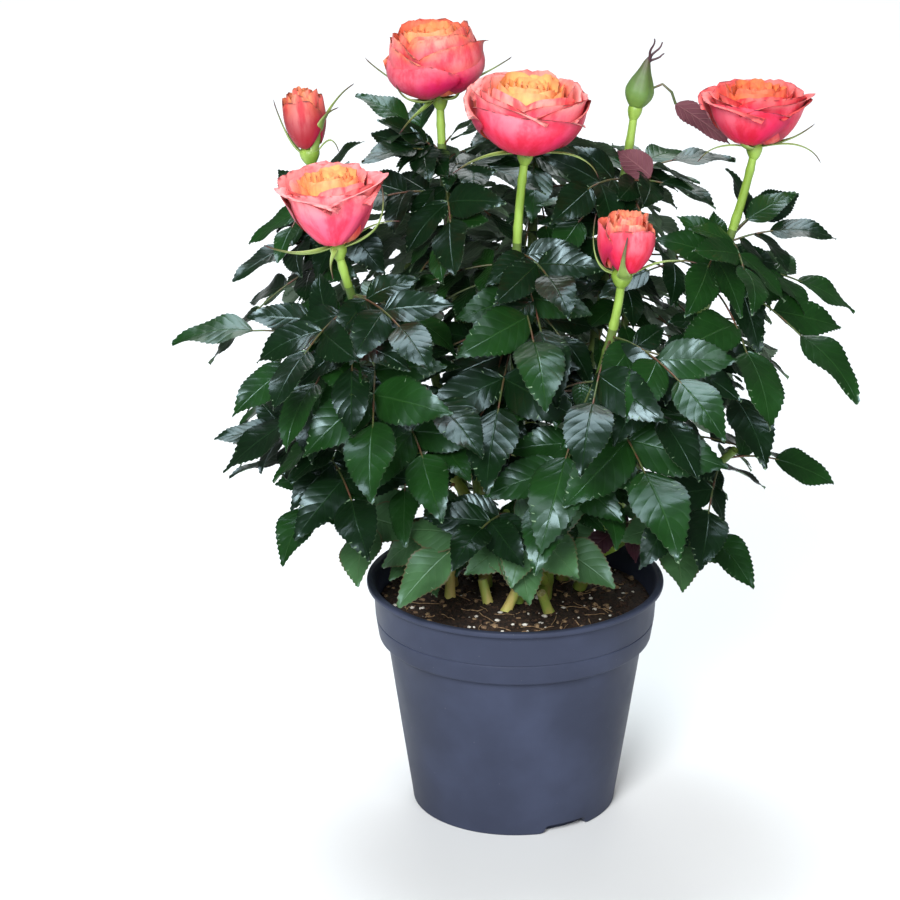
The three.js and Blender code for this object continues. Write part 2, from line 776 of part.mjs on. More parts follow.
// The next leaf of a mass, turned from the last, at the first size and turn at which it fits.
function growLeaf(mass, i, masses, fixed, random) {
  const { curve, stemStart, leave } = mass.shoot;
  const share = (i + 0.5) / mass.count;
  const root = curve.point(THREE.MathUtils.lerp(stemStart, leave, share));
  mass.azimuth += LEAF_TURN;
  const full = THREE.MathUtils.lerp(...LEAF_REACH, random());
  const slant = THREE.MathUtils.lerp(...LEAF_SLANT, random());
  const roll = LEAF_ROLL * (random() - 0.5);
  for (const size of LEAF_SIZES) {
    for (const turn of LEAF_TURNS) {
      const reach = full * size;
      const heading = mass.azimuth + turn;
      const away = new THREE.Vector3(Math.cos(heading), Math.sin(heading), -slant);
      const tip = away.multiplyScalar(reach).add(root);
      const least = size === LEAF_SIZES[0] ? FEWEST_LEAFLETS.full : FEWEST_LEAFLETS.small;
      if (kept(plannedLeaf(root, tip, roll), least, mass, masses, fixed)) return;
    }
  }
}

// One mass: the stem and all its leaves, joined.
function massSolid({ shoot, leaves }) {
  return joined([stretch(shoot, shoot.stemStart, shoot.leave, STEM_SIDES), ...leaves.map(leafSolid)]);
}

// Blooms, each made upright with the foot of its flower at its own origin

// A ring of petals as one cup. Each petal has a low edge tucked in, a high middle and a low edge that
// stands proud, so the cup's rim and sides step from petal to petal. A cup without a wall is filled up to
// a dished top.
function whorl({ petals, samples, rows, foot, top, height, lift, bulge, ball, turn, wall }) {
  const columns = petals * samples;
  const ring = (v, offset) =>
    Array.from({ length: columns }, (_, column) => {
      const u = (2 * ((column % samples) + 0.5)) / samples - 1;
      const angle = (TURN * (column + turn)) / columns;
      const side = foot + (top - foot) * v ** bulge + ball * Math.sin(Math.PI * v);
      const radius = side * (1 + 0.07 * u * v) - offset;
      const rise = lift + offset * (1 - v) + height * v * (1 - 0.16 * u * u * v);
      return new THREE.Vector3(radius * Math.cos(angle), radius * Math.sin(angle), rise);
    });
  const outside = rows.map((v) => ring(v, 0));
  if (wall) return lofted([...outside, ...rows.map((v) => ring(v, wall)).reverse()]);
  const dish = DISH.map(({ share, drop }) =>
    outside.at(-1).map(({ x, y, z }) => new THREE.Vector3(share * x, share * y, z - drop)),
  );
  return lofted([...outside, ...dish]);
}

// The five green leaves under a flower, spread under an open one and upright round a bud.
function sepals({ kind, radius, height }) {
  const shape = {
    open: { start: 2.4, rise: -1.4, tipRise: -4 },
    opening: { start: 2.4, rise: -1.4, tipRise: 0.5 * height },
    closed: { start: 0.5 * radius, rise: 0.6 * height, tipRise: 1.4 * height },
  }[kind];
  return Array.from({ length: SEPALS }, (_, i) => {
    const angle = (TURN * (i + 0.3)) / SEPALS;
    const outward = new THREE.Vector3(Math.cos(angle), Math.sin(angle), 0);
    const across = new THREE.Vector3(-outward.y, outward.x, 0);
    const base = outward.clone().multiplyScalar(shape.start).addScaledVector(UP, shape.rise);
    const spread = SEPAL_REACH[kind] * radius;
    const tip = outward.clone().multiplyScalar(spread).addScaledVector(UP, shape.tipRise + 4 * (i % 2));
    const middle = base.clone().lerp(tip, 0.35);
    const thick = tip.clone().sub(base).cross(across).normalize();
    const corners = [
      base.clone().addScaledVector(thick, 0.8),
      base.clone().addScaledVector(thick, -0.8),
      middle.clone().addScaledVector(across, SEPAL_WIDTH / 2),
      middle.clone().addScaledVector(across, -SEPAL_WIDTH / 2),
      tip,
    ];
    return solidOf(corners, [
      [0, 2, 4],
      [0, 4, 3],
      [1, 4, 2],
      [1, 3, 4],
      [0, 1, 2],
      [0, 3, 1],
    ]);
  });
}

// The round green hip under a flower, which swells from the stalk.
function hipSolid() {
  const profile = [
    [0, -7.5],
    [2, -7],
    [HIP_RADIUS, -3.5],
    [0.7 * HIP_RADIUS, 1.5],
    [0, 1.5],
  ];
  return turned(profile, 7);
}

// The tight middle of a bud.
function budHeart({ kind, radius, height }) {
  const widest = kind === "closed" ? radius : 0.66 * radius;
  const profile = [
    [0, 0.8],
    [0.16 * radius, 0.8],
    [widest, 0.36 * height],
    [0.9 * widest, 0.7 * height],
    [0.3 * widest, 0.94 * height],
    [0, 0.94 * height],
  ];
  return turned(profile, 8);
}

function flowerHead(bloom) {
  const { kind, radius, height, flare, ball } = bloom;
  const outer = {
    petals: 5,
    samples: 3,
    rows: [0, 0.35, 0.7, 1],
    foot: 0.24 * radius,
    top: flare * radius,
    height: 0.87 * height,
    lift: 0.3,
    bulge: 0.62,
    ball: ball * radius,
    turn: 0,
    wall: PETAL_THICKNESS,
  };
  const inner = {
    petals: 5,
    samples: 2,
    rows: [0, 0.5, 1],
    foot: 0.15 * radius,
    top: 0.68 * radius,
    height: height - 1,
    lift: 0.8,
    bulge: 0.72,
    ball: 0.4 * ball * radius,
    turn: 1.1,
    wall: 0,
  };
  const upright = { ...outer, petals: 4, foot: 0.4 * radius, height, bulge: 0.5 };
  const petals = {
    open: [whorl(outer), whorl(inner)],
    opening: [whorl(upright), budHeart(bloom)],
    closed: [budHeart(bloom)],
  }[kind];
  return wasm.Manifold.union([hipSolid(), ...sepals(bloom), ...petals]);
}

// A flower on its stalk, whose foot meets the stem of the mass below.
function bloomSolid(bloom, shoot) {
  const axis = axisOf(bloom);
  const stalk = stretch(shoot, shoot.stalkStart, 1, LIMB_SIDES);
  const head = placed(flowerHead(bloom), shoot.curve.point(1).addScaledVector(axis, HIP_LENGTH), axis);
  return joined([stalk, head]);
}

function axisOf({ lean }) {
  return new THREE.Vector3(lean[0], -lean[1], 1).normalize();
}

// Pot and soil

function potSolid() {
  const inside = (radius) => radius - POT.wall;
  const body = turned(
    [
      [0, 0],
      [POT.footRadius - 0.6, 0],
      [POT.footRadius, 0.8],
      [POT.bodyTopRadius, POT.collarHeight],
      [POT.collarRadius, POT.collarHeight],
      [POT.creaseRadius, POT.creaseHeight],
      [POT.creaseRadius + 0.9, POT.lipHeight],
      [POT.lipRadius, POT.lipHeight],
      [POT.lipRadius, POT.height - 0.6],
      [POT.lipRadius - 0.6, POT.height],
      [POT.lipRadius - POT.lipWidth, POT.height],
      [inside(POT.creaseRadius + 0.9), POT.lipHeight],
      [inside(POT.creaseRadius), POT.creaseHeight],
      [inside(POT.collarRadius), POT.collarHeight + POT.wall],
      [inside(POT.bodyTopRadius), POT.collarHeight - POT.wall],
      [inside(POT.footRadius), POT.floor],
      [0, POT.floor],
    ],
    POT.sides,
  );
  const notch = (azimuth) =>
    solidFrom(
      new THREE.BoxGeometry(NOTCH.width, NOTCH.depth, 2 * NOTCH.height)
        .translate(0, -POT.footRadius, 0)
        .rotateZ(azimuth),
    );
  return body.subtract(notch(NOTCH.azimuth)).subtract(notch(NOTCH.azimuth + Math.PI));
}

function soilSolid() {
  const beside = (radius) => radius - POT.wall - GAP - 0.3;
  return turned(
    [
      [0, POT.floor + GAP],
      [beside(POT.footRadius), POT.floor + GAP],
      [beside(POT.bodyTopRadius), POT.collarHeight - POT.wall - 1],
      [beside(POT.bodyTopRadius), POT.collarHeight + POT.wall + 1],
      [beside(POT.creaseRadius), SOIL.edgeTop],
      [SOIL.levelRadius + 12, SOIL.top - 0.6],
      [SOIL.levelRadius, SOIL.top],
      [0, SOIL.top],
    ],
    SOIL.sides,
  );
}

function stubSolid([x, y, leanX, leanY, length]) {
  const foot = new THREE.Vector3(x, y, SOIL.top + GAP);
  const heading = new THREE.Vector3(leanX, leanY, 1).normalize();
  const stations = [
    { point: foot, heading: UP, radius: STUB_RADIUS },
    { point: foot.clone().addScaledVector(heading, length), heading, radius: STUB_RADIUS * 0.85 },
  ];
  return tube(stations, LIMB_SIDES);
}

// The plant

const rose = new THREE.Group();

function add(name, solid, colour, roughness) {
  const { numProp, vertProperties, triVerts } = solid.getMesh();
  const geometry = new THREE.BufferGeometry();
  const corners = new THREE.InterleavedBuffer(vertProperties, numProp);
  geometry.setAttribute("position", new THREE.InterleavedBufferAttribute(corners, 3, 0));
  geometry.setIndex(new THREE.BufferAttribute(triVerts, 1));
  geometry.computeVertexNormals();
  const material = new THREE.MeshStandardMaterial({ color: colour, roughness, metalness: 0 });
  const mesh = new THREE.Mesh(geometry, material);
  mesh.name = name;
  rose.add(mesh);
}

const shoots = [];
for (const shoot of SHOOTS) shoots.push(grown(shoot, shoots));

add("pot", potSolid(), COLOURS.pot, 0.45);
add("soil", soilSolid(), COLOURS.soil, 0.95);
STUBS.forEach((stub, i) => add("stub_" + (i + 1), stubSolid(stub), COLOURS.cane, 0.6));

for (const shoot of shoots) {
  add((shoot.parent ? "bough_" : "cane_") + shoot.name, limbSolid(shoot), COLOURS.cane, 0.55);
}

for (const bloom of BLOOMS) {
  const shoot = shoots.find(({ name }) => name === bloom.on);
  add((bloom.kind === "open" ? "bloom_" : "bud_") + bloom.on, bloomSolid(bloom, shoot), COLOURS.bloom, 0.6);
}

const masses = shoots.map((shoot) => {
  return { shoot, centre: vector(shoot.centre), leaves: [], stalks: [], blades: [] };
});
growLeaves(masses, fixedPieces(shoots), seededRandom(SEED));
for (const mass of masses) add("leaves_" + mass.shoot.name, massSolid(mass), COLOURS.leaf, 0.45);

export default rose;
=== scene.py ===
# A patio rose in flower in its nursery pot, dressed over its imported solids.
# Shapes are worked out in millimetres in the part's own frame, +Z up and -Y to the front, and become
# metres when a mesh is made. The shoots, the pot and the rule by which leaves grow repeat the part's.

import json
import math
from functools import partialmethod

import bpy
import numpy as np
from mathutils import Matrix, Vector

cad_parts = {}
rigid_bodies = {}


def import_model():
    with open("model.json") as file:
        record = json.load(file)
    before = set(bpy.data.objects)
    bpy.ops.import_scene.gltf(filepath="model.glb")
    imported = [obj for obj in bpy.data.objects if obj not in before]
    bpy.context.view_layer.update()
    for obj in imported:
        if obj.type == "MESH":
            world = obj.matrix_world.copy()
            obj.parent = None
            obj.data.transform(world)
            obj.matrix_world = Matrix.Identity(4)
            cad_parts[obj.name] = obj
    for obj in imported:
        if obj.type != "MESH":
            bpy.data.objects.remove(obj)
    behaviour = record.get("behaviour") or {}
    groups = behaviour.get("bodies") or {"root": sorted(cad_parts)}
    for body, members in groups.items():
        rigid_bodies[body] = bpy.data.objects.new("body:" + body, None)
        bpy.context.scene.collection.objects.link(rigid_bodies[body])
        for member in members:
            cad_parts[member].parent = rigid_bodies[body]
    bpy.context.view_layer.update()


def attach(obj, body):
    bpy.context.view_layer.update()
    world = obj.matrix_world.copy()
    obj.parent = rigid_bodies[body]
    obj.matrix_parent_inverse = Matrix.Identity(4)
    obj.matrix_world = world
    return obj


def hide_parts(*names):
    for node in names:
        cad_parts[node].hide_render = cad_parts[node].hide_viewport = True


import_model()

MM = 0.001
SEED = 7
UP = np.array([0.0, 0.0, 1.0])
FRONT = np.array([0.0, -1.0, 0.0])
BACK = np.array([0.0, 1.0, 0.0])

# The camera of the photograph, the picture's size, and the column that the plant's middle falls on
PICTURE = 900
FOCAL_PIXELS = 3689
SENSOR = 36.0
CAMERA_PLACE = (0.0, -1500.0, 710.0)
CAMERA_TILT = math.radians(20.04)
CAMERA_TURN = math.radians(1.09)
PICTURE_MIDDLE = 516


def pictured(points):
    """Where points fall in the photograph, in pixels across and down."""
    x, y, z = (points - CAMERA_PLACE).T
    depth = y * math.cos(CAMERA_TILT) - z * math.sin(CAMERA_TILT)
    rise = y * math.sin(CAMERA_TILT) + z * math.cos(CAMERA_TILT)
    return PICTURE_MIDDLE + FOCAL_PIXELS * x / depth, PICTURE / 2 - FOCAL_PIXELS * rise / depth


def seen_at(across, down, y):
    """The place with a given y that falls on a pixel of the photograph, to a tenth of a millimetre."""
    forward = y - CAMERA_PLACE[1]
    rise = forward * math.tan(math.atan((PICTURE / 2 - down) / FOCAL_PIXELS) - CAMERA_TILT)
    depth = forward * math.cos(CAMERA_TILT) - rise * math.sin(CAMERA_TILT)
    return round((across - PICTURE_MIDDLE) * depth / FOCAL_PIXELS, 1), y, round(CAMERA_PLACE[2] + rise, 1)


# Pot and soil, as in the part
POT = {
    "height": 104, "foot_radius": 44.8, "body_top_radius": 56.3, "collar_height": 78,
    "collar_radius": 59.7, "crease_height": 87, "crease_radius": 61.2, "lip_height": 101.6,
    "lip_radius": 65, "lip_width": 3, "wall": 1.2, "floor": 5,
}
NOTCH = {"width": 21.5, "depth": 8, "height": 3.8, "azimuth": math.radians(31)}
SOIL = {"top": 95, "level_radius": 38, "edge_top": 92.5}
GAP = 0.3
# Points of the pot's outline: one on its flat underside, those as (out, up) from the foot's edge and from
# the crease, and how far the lip's root is out from the crease
FOOT_FLAT = 36.5
FOOT_EDGE = [(-3.6, 0), (-0.1, 0), (0.1, 1.6), (0.4, 3.9)]
CREASE_EDGE = [(-0.15, -0.4), (-0.55, 0), (0, 0.5)]
LIP_ROOT = 0.9

# Canes, boughs and stalks, as in the part
CANE_FOOT_RADIUS = 3.1
BOUGH_FOOT_RADIUS = 2.5
SHOOT_TOP_RADIUS = 1.7
STUB_RADIUS = 2.3

# How far leaves reach from the middle at each height, as in the part
CROWN_REACH = [
    (95, 72), (112, 80), (124, 92), (140, 106), (154, 130), (200, 147), (262, 136), (300, 96), (325, 50),
]

# Shoots, as in the part. In each row: its name; where it springs from, a place on the soil or a shoot and
# a height on it; the curve's two handles; its top; the heights between which its leaves grow; the middle of
# its mass's space; and the named leaves that make the outline or face the front, as (height of root, x, y
# and z of tip).
SHOOTS = [
    (
        "left", (-28, 11), (-5, -6, 52), (8, 7, -42), (-73.5, -45, 265.5), (168, 250), (-76, -48, 208),
        [
            (215, -146, -20, 217), (245, -34, -100, 232), (240, -98, -100, 216), (214, -58, -116, 182),
            (192, -30, -90, 164), (226, -118, -58, 198),
        ],
    ),
    (
        "top_left", (-13, 10), (-2, 4, 65), (1, -2, -60), (-33.3, 30, 309.5), (178, 292), (-31, 30, 246),
        [
            (287, -70, 40, 310), (282, 12, 6, 276), (287, -66, 4, 290), (276, -26, -34, 252),
            (270, -82, 10, 262),
        ],
    ),
    (
        "top_middle", (1, -8), (2, 2, 65), (-8, 2, -60), (3, -5, 295), (165, 258), (0, -38, 226),
        [(253, 22, -66, 244), (238, 12, -90, 212), (216, -12, -88, 176)],
    ),
    (
        "right", (28, 8), (18, -3, 42), (-9, -4, -52), (99.5, 5, 295.5), (150, 262), (92, 0, 208),
        [
            (257, 121, 32, 269), (256, 135, 0, 259), (256, 70, -44, 238), (244, 146, 22, 219),
            (240, 143, -40, 199), (236, 104, -76, 200), (212, 104, -62, 178),
        ],
    ),
    (
        "front", (13, -4), (2, -8, 50), (-3, 2, -40), (43, -50, 256), (152, 234), (48, -62, 182),
        [(230, 84, -106, 206), (228, 26, -122, 196), (200, 66, -122, 160), (184, 8, -102, 146)],
    ),
    (
        "top_right", (21, 19), (2, 4, 60), (-6, -2, -50), (49.7, 35, 304), (176, 280), (48, 38, 240),
        [
            (275, 94, 40, 282), (275, 14, -10, 268), (274, 84, 6, 270), (264, 24, -12, 236),
            (275, 74, 70, 276),
        ],
    ),
    (
        "back_middle", (6, 25), (0, 4, 60), (-2, -8, -50), (8, 62, 297), (186, 295), (8, 72, 248),
        [(293, -20, 30, 290), (284, 6, 12, 262), (290, -22, 108, 276)],
    ),
    (
        "back_left", (-18, 27), (-2, 6, 40), (6, -8, -34), (-52, 88, 232), (124, 230), (-46, 84, 172),
        [],
    ),
    (
        "far_left", ("top_left", 128), (-20, 4, 24), (2, -2, -50), (-89.5, 35, 284), (168, 268),
        (-92, 42, 224),
        [(248, -122, 8, 236), (262, -117, 40, 243), (256, -56, -12, 246)],
    ),
    (
        "left_low", ("left", 108), (-18, -2, 10), (18, 2, -14), (-94, -14, 176), (118, 175),
        (-82, -16, 142),
        [
            (172, -129, -20, 174), (160, -123, -20, 157), (158, -98, -60, 132), (140, -67, -52, 120),
            (164, -60, -88, 146),
        ],
    ),
    (
        "right_low", ("right", 112), (16, -6, 8), (-14, 8, -16), (94, -26, 174), (118, 173),
        (82, -22, 140),
        [(168, 137, -10, 152), (142, 101, -50, 119), (140, 70, -66, 124), (166, 76, -92, 144)],
    ),
    (
        "front_low", ("front", 104), (-6, -12, 8), (0, 8, -14), (-4, -50, 154), (113, 153), (0, -58, 132),
        [
            (150, -49, -70, 118), (146, 6, -77, 122), (140, 42, -62, 124), (152, -26, -94, 144),
            (150, 26, -86, 138),
        ],
    ),
    (
        "back_right", ("top_right", 116), (6, 16, 10), (-4, -10, -32), (56, 92, 232), (128, 230),
        (52, 88, 170),
        [],
    ),
]

# Leaves that the photograph shows besides, one leaflet or more each: (height of root, x, y and z of tip).
# A tip read from the photograph is given by its pixel, across and down, and its y.
MORE_LEAVES = {
    "right": [(259, 118.5, 15, 274.7), (252, *seen_at(759, 352, -6)), (252, *seen_at(682, 216, -2))],
    "top_left": [(286, -59.9, 24, 303.9), (290, -17, 18, 306)],
    "far_left": [(258, *seen_at(276, 172, 60)), (266, -66, 28, 293)],
    "left": [(220, *seen_at(246, 318, -26)), (226, *seen_at(262, 352, -18))],
}
# Named leaves that are seen edge-on: how far each faces the front, by its number
SEEN_EDGE_ON = {"left": {0: -0.12}, "left_low": {1: -0.2}, "right": {5: 0.1}}
# Boxes of the photograph with sky or open soil in them, from left, top to right, bottom in its pixels
OPEN = [
    (442, 580, 508, 612), (560, 568, 655, 612), (188, 190, 252, 275), (252, 205, 286, 226),
    (250, 226, 262, 292), (188, 275, 236, 322), (243, 336, 298, 346), (200, 366, 252, 404),
    (262, 502, 275, 530), (302, 530, 352, 605), (352, 548, 374, 605), (730, 496, 765, 550),
    (757, 384, 800, 440), (780, 492, 800, 525), (776, 325, 797, 372), (806, 258, 860, 280),
    (745, 207, 800, 218), (716, 292, 728, 322), (585, 104, 622, 142), (638, 112, 690, 140),
    (658, 143, 676, 166),
]

# Blooms, on the part's shoots and in its sizes, which are (radius, height). flare and ball: how wide its rim
# is and how far its sides bulge, of its radius. bulge: how early its sides widen, less for a round cup and
# more for a funnel. even: how far its outer petals fall short of the inner ones, at 1 as much as the whorls
# say and at 0 not at all. turn and roll: how far they are turned, and how far their rims curl.
# lean: how far its axis turns from upright, sideways and to the front.
# lips: rims that fold down, as (azimuth, how far out). sepals: (azimuth, handle, tip, width), where handle
# and tip are (out, up) in mm and azimuths are in degrees, -90 to the front.
BLOOMS = [
    {
        "on": "top_left", "kind": "open", "size": (20, 30), "flare": 0.86, "bulge": 0.32, "ball": 0.26,
        "even": 1.0, "turn": -15, "roll": 0.8, "lean": (-0.11, 0.06), "lips": [],
        "sepals": [
            (216, (17, -2), (21, 10), 5.2), (-48, (13, -2), (17, 9), 4.6), (165, (22, 5), (31, 17), 2.2),
            (15, (24, 7), (33.5, 10.5), 2.2), (224, (13, -4), (25, -10), 3.0),
        ],
    },
    {
        "on": "top_middle", "kind": "open", "size": (23.5, 30), "flare": 0.95, "bulge": 0.36,
        "ball": 0.14, "even": 0.45, "turn": 18, "roll": 0.8, "lean": (0.08, 0.08),
        "lips": ((-78, 0.06), (175, 0.07), (20, 0.05)),
        "sepals": [
            (205, (18, 1), (33, -8), 3.4), (-88, (8, -3), (8, 4), 3.2), (-12, (28, 5), (32, -8), 1.6),
            (60, (12, 1), (21, -4), 2.8), (130, (12, 1), (22, -3), 2.8),
        ],
    },
    {
        "on": "left", "kind": "open", "size": (22.5, 30), "flare": 0.86, "bulge": 0.55, "ball": 0.06,
        "even": 0.15, "turn": 15, "roll": 0.4, "lean": (-0.12, 0.04), "lips": ((200, 0.14), (-5, 0.12)),
        "sepals": [
            (186, (18, -5), (30, 4), 4.6), (250, (8, -2), (10, -12), 2.6), (-15, (25, 4), (22, 26), 3.0),
            (10, (17, 9), (27, 5), 1.5), (90, (12, 0), (21, -2), 2.8),
        ],
    },
    {
        "on": "right", "kind": "open", "size": (22, 24.5), "flare": 0.92, "bulge": 0.4, "ball": 0.06,
        "even": 0.3, "turn": 0, "roll": 0.7, "lean": (0, 0),
        "lips": ((188, 0.09), (-5, 0.07), (80, 0.05)),
        "sepals": [
            (240, (13, -2), (13, 12), 5.0), (-6, (14, 0), (25, 9), 3.6), (-20, (25, 5), (29, -6), 1.5),
            (200, (18, 3), (26, -6), 1.5), (90, (12, 1), (20, 0), 2.8),
        ],
    },
    {
        "on": "far_left", "kind": "opening", "size": (9.5, 26), "flare": 0.75, "bulge": 0.35,
        "ball": 0.25, "even": 1.0, "turn": 0, "roll": 1.0, "lean": (-0.11, 0), "lips": [],
        "sepals": [
            (-42, (9.5, 17), (21, 20), 6.4), (22, (10, 20), (24, 24), 3.4),
            (180, (9.5, 4), (12.5, 23), 3.2), (-8, (12, 8), (13, -3), 1.6), (110, (13, 2), (11, 18), 4.0),
        ],
    },
    {
        "on": "front", "kind": "opening", "size": (12.5, 24), "flare": 0.8, "bulge": 0.33, "ball": 0.18,
        "even": 1.0, "turn": 30, "roll": 1.0, "lean": (0.08, 0.05), "lips": [],
        "sepals": [
            (-92, (16, 0), (12.5, 19), 6.0), (-6, (18, 10), (30, 7), 1.8), (178, (15, 0), (13, 24), 2.4),
            (50, (15, 1), (16, 16), 4.0), (120, (15, 1), (15, 17), 4.0),
        ],
    },
    {
        "on": "top_right", "kind": "closed", "size": (6.4, 18), "lean": (0.2, 0), "sepals": [],
    },
]
# The closed bud's profile, in shares of its radius and height
BUD_PROFILE = [(0.56, -0.02), (0.92, 0.18), (1, 0.34), (0.82, 0.55), (0.42, 0.85), (0.22, 1.08)]
# The tips of the closed bud's sepals, as (aside, up) from its foot
BEAK_TIPS = [(1.2, 30), (5.4, 29), (7.6, 24)]

# Short stubs that pruning left on the soil, as in the part: (foot x, foot y, lean x, lean y, length)
STUBS = [
    (-28.5, -2, 0, 0.1, 15), (-11.5, -9, -0.25, 0.15, 11), (-4, -17, 0.45, 0.1, 12),
    (15, -18, -0.3, -0.5, 13),
]

HIP_LENGTH = 4
HIP_GIRTH = {"open": 3.6, "opening": 4.5, "closed": 3.2}

# Leaves, as in the part: five leaflets on a curved stalk, as shares of the leaf's length or of a leaflet's
LEAFLET_WIDTH = 0.5
LEAFLET_FOLD = 0.13
LEAF_FACES_OUT = 0.55
NAMED_LEAF_FACES_FRONT = 0.6
TERMINAL_START = 0.62
LEAF_HANDLE = 0.45
LEAF_ARCH = 0.2
PAIRS = [
    {"at": 0.2, "length": 0.78, "angle": math.radians(74)},
    {"at": 0.43, "length": 0.95, "angle": math.radians(62)},
]
LEAFLET_HULL = [(-0.02, 0), (0.3, 1.12), (0.3, -1.12), (0.56, 1.12), (0.56, -1.12), (1, 0)]
LATERAL_DROOP = 0.2
LATERAL_ROLL = 0.15
LEAF_TURN = math.radians(144)
LEAF_SLANT = (0.15, 1.05)
LEAF_SIZES = (1, 0.86, 0.72, 0.6)
LEAF_TURNS = (0, 0.35, -0.35, 0.7, -0.7, 1.05, -1.05)
LEAF_ROLL = 0.5
MASS_OVERREACH = 20
POT_CLEARANCE = {"beside": 2, "above": 1.5}
CROWN_DEPTH = 0.86
ROD_STEPS = {"limb": 5, "stem": 4, "stalk": 2}
LIP_STEPS = 30
# How far a bloom reaches from its middle, of its radius or of its height, whichever is more
BLOOM_REACH = (1.14, 0.62)

# Leaves, finer here than in the part: more of them, nearer to each other, and thinner
LEAF_SPACING = 2.7
LEAF_REACH = (54, 82)
LEAF_CLEARANCE = 0.25
NAMED_TERMINAL = 27
SHORTEST_START = 0.25
LEAFLET_THICKNESS = 0.009
LEAF_STALK_RADIUS = 0.5
STALK_TIP_RADIUS = 0.4
STALK_FOOT = 1.8
STALK_OVERLAP = 0.03
FEWEST_LEAFLETS = {"named": 1, "full": 4, "small": 3}
MOST_PIECES = 4000
GROUP_POINTS = 6

# A leaflet's outline as half widths along it, its teeth, and how its blade bends
BLADE_OUTLINE = [
    (0, 0.05), (0.03, 0.3), (0.1, 0.64), (0.2, 0.89), (0.32, 1.0), (0.45, 0.98), (0.58, 0.85),
    (0.7, 0.65), (0.81, 0.42), (0.9, 0.21), (0.96, 0.08), (1, 0),
]
BLADE_TEETH = 15
BLADE_COLUMNS = (0.0, 0.52, 1.0)
TOOTH_DEPTH = 0.02
TOOTH_LEAN = 0.55
BLADE_WIDTH = 0.52
BLADE_ARCH = (0.02, 0.12)
BLADE_FOLD = (0.08, 0.3)
BLADE_WAVE = 0.03
BLADE_QUILT = 0.003
VEINS = 7.5
VEIN_SLANT = 1.9
# The half-width of a leaflet's midrib as a share of the blade's, and how light the light spots of a blade are
MIDRIB_WIDTH = 0.06
MOTTLE = 1.6
# The tint of a leaf's shine
SHINE = (0.72, 0.93, 1.0, 1.0)

# Finer sizes of the dressed pieces
CELL_MARGIN = 0.04
CORNER_STEPS = 4
POT_SIDES = 168
POT_ROUNDING = 0.9
SOIL_SIDES = 120
SOIL_RINGS = 48
LIMB_STEP = 1.6
LIMB_SIDES = {"limb": 14, "stem": 10, "stalk": 12}
NODE_SPACING = 21
NODE_SWELLING = 0.14
NODE_LENGTH = 1.6
# Prickles, by shares of a shoot's way; and one's path, as (out, down, radius)
PRICKLE_START = 0.06
PRICKLE_SPACING = 0.09
PRICKLE_DROOP = 0.25
PRICKLE = [(0, 0, 1.1), (1.4, 0, 0.6), (3.4, 0.8, 0.05)]
# A stub's girth along it, and how far its cut top is domed
STUB_TAPER = [(0, 1.15), (0.2, 1), (1, 0.88)]
CUT_RISE = 0.3
# Crumbs on the soil: how many, their size and their finish; their profile, as (share of girth, height);
# and loose fibres
CRUMBS = [(800, (0.4, 1.2), 1), (130, (0.6, 1.9), 2), (110, (0.5, 1.3), 3)]
CRUMB_PROFILE = np.array([(0.0, -0.7), (0.75, -0.4), (1.0, 0.15), (0.7, 0.6), (0.0, 0.8)])
CRUMB_SIDES = 6
FIBRES = 80

# Young leaflets on stalks of their own, seen from their purple undersides: stalk, tip, facing and width
YOUNG = [
    (
        [(52.5, 35, 306), (56.5, 34, 315), (61.5, 33, 317.5), (65.5, 32.5, 314), (67.2, 32, 309)],
        (90.5, 26, 293), (0.45, 0.85, 0.3), 0.85,
    ),
    ([(51, 36, 262), (54, 33, 272), (57, 28, 278)], (42.5, 26, 290), (-0.3, 0.9, 0.4), 1.3),
]
YOUNG_ON = "top_right"
YOUNG_STALK_RADIUS = 0.6

# Leaf tones: name, blade, veins, edge, roughness; and their undersides
LEAF_TONES = [
    ("dark", "071807", "1c3a18", "071206", 0.28),
    ("mid", "102b0c", "2b4f20", "0e1f0a", 0.3),
    ("low", "2e4a2b", "4e6c44", "5a3a2c", 0.45),
    ("young", "2c141c", "502c30", "38141e", 0.34),
]
YOUNG_TONE = len(LEAF_TONES) - 1
# The tones of leaves below a height and above it, as (share of the leaves up to this tone, tone)
LOW_HEIGHT = 150
LOW_TONES = [(0.1, 3), (0.78, 2), (1, 1)]
HIGH_TONES = [(0.55, 0), (1, 1)]
# How wide the leaflets of each tone are, against the others
TONE_WIDTHS = (1.0, 1.0, 1.22, 0.95)
UNDER_TONES = [("green", "5c7558", "7d9272"), ("purple", "6a3a44", "8a5a5c")]

# Petals of a flower, whorl by whorl from the heart out. count: petals. wide: how wide the whorl's rim is,
# of the flower's. tall: its height, of the flower's. span: half a petal's width round the axis, in degrees.
# curl: how far its rim turns out, of the radius. ruffle: how wavy its rim is. finish: which petal colours
# it has.
WHORL_KEYS = ("count", "wide", "tall", "span", "curl", "ruffle", "finish")
WHORLS = {
    "open": [
        (3, 0.1, 0.86, 100, -0.01, 0.3, 0), (4, 0.22, 0.91, 78, -0.02, 0.6, 0),
        (5, 0.34, 0.95, 62, -0.01, 0.8, 0), (5, 0.46, 0.98, 58, 0.0, 0.9, 0),
        (5, 0.59, 1.0, 56, 0.01, 0.9, 0), (5, 0.73, 1.0, 56, 0.03, 0.8, 1),
        (4, 0.87, 0.97, 64, 0.05, 0.9, 2), (3, 0.98, 0.86, 76, 0.09, 1.1, 2),
        (3, 1.04, 0.66, 72, 0.05, 1.0, 3),
    ],
    "opening": [
        (3, 0.26, 1.0, 90, 0.0, 0.6, 1), (4, 0.5, 1.02, 76, 0.0, 0.8, 1),
        (4, 0.76, 0.98, 66, 0.03, 0.9, 2), (3, 0.98, 0.9, 74, 0.05, 1.2, 3),
    ],
    "closed": [],
}
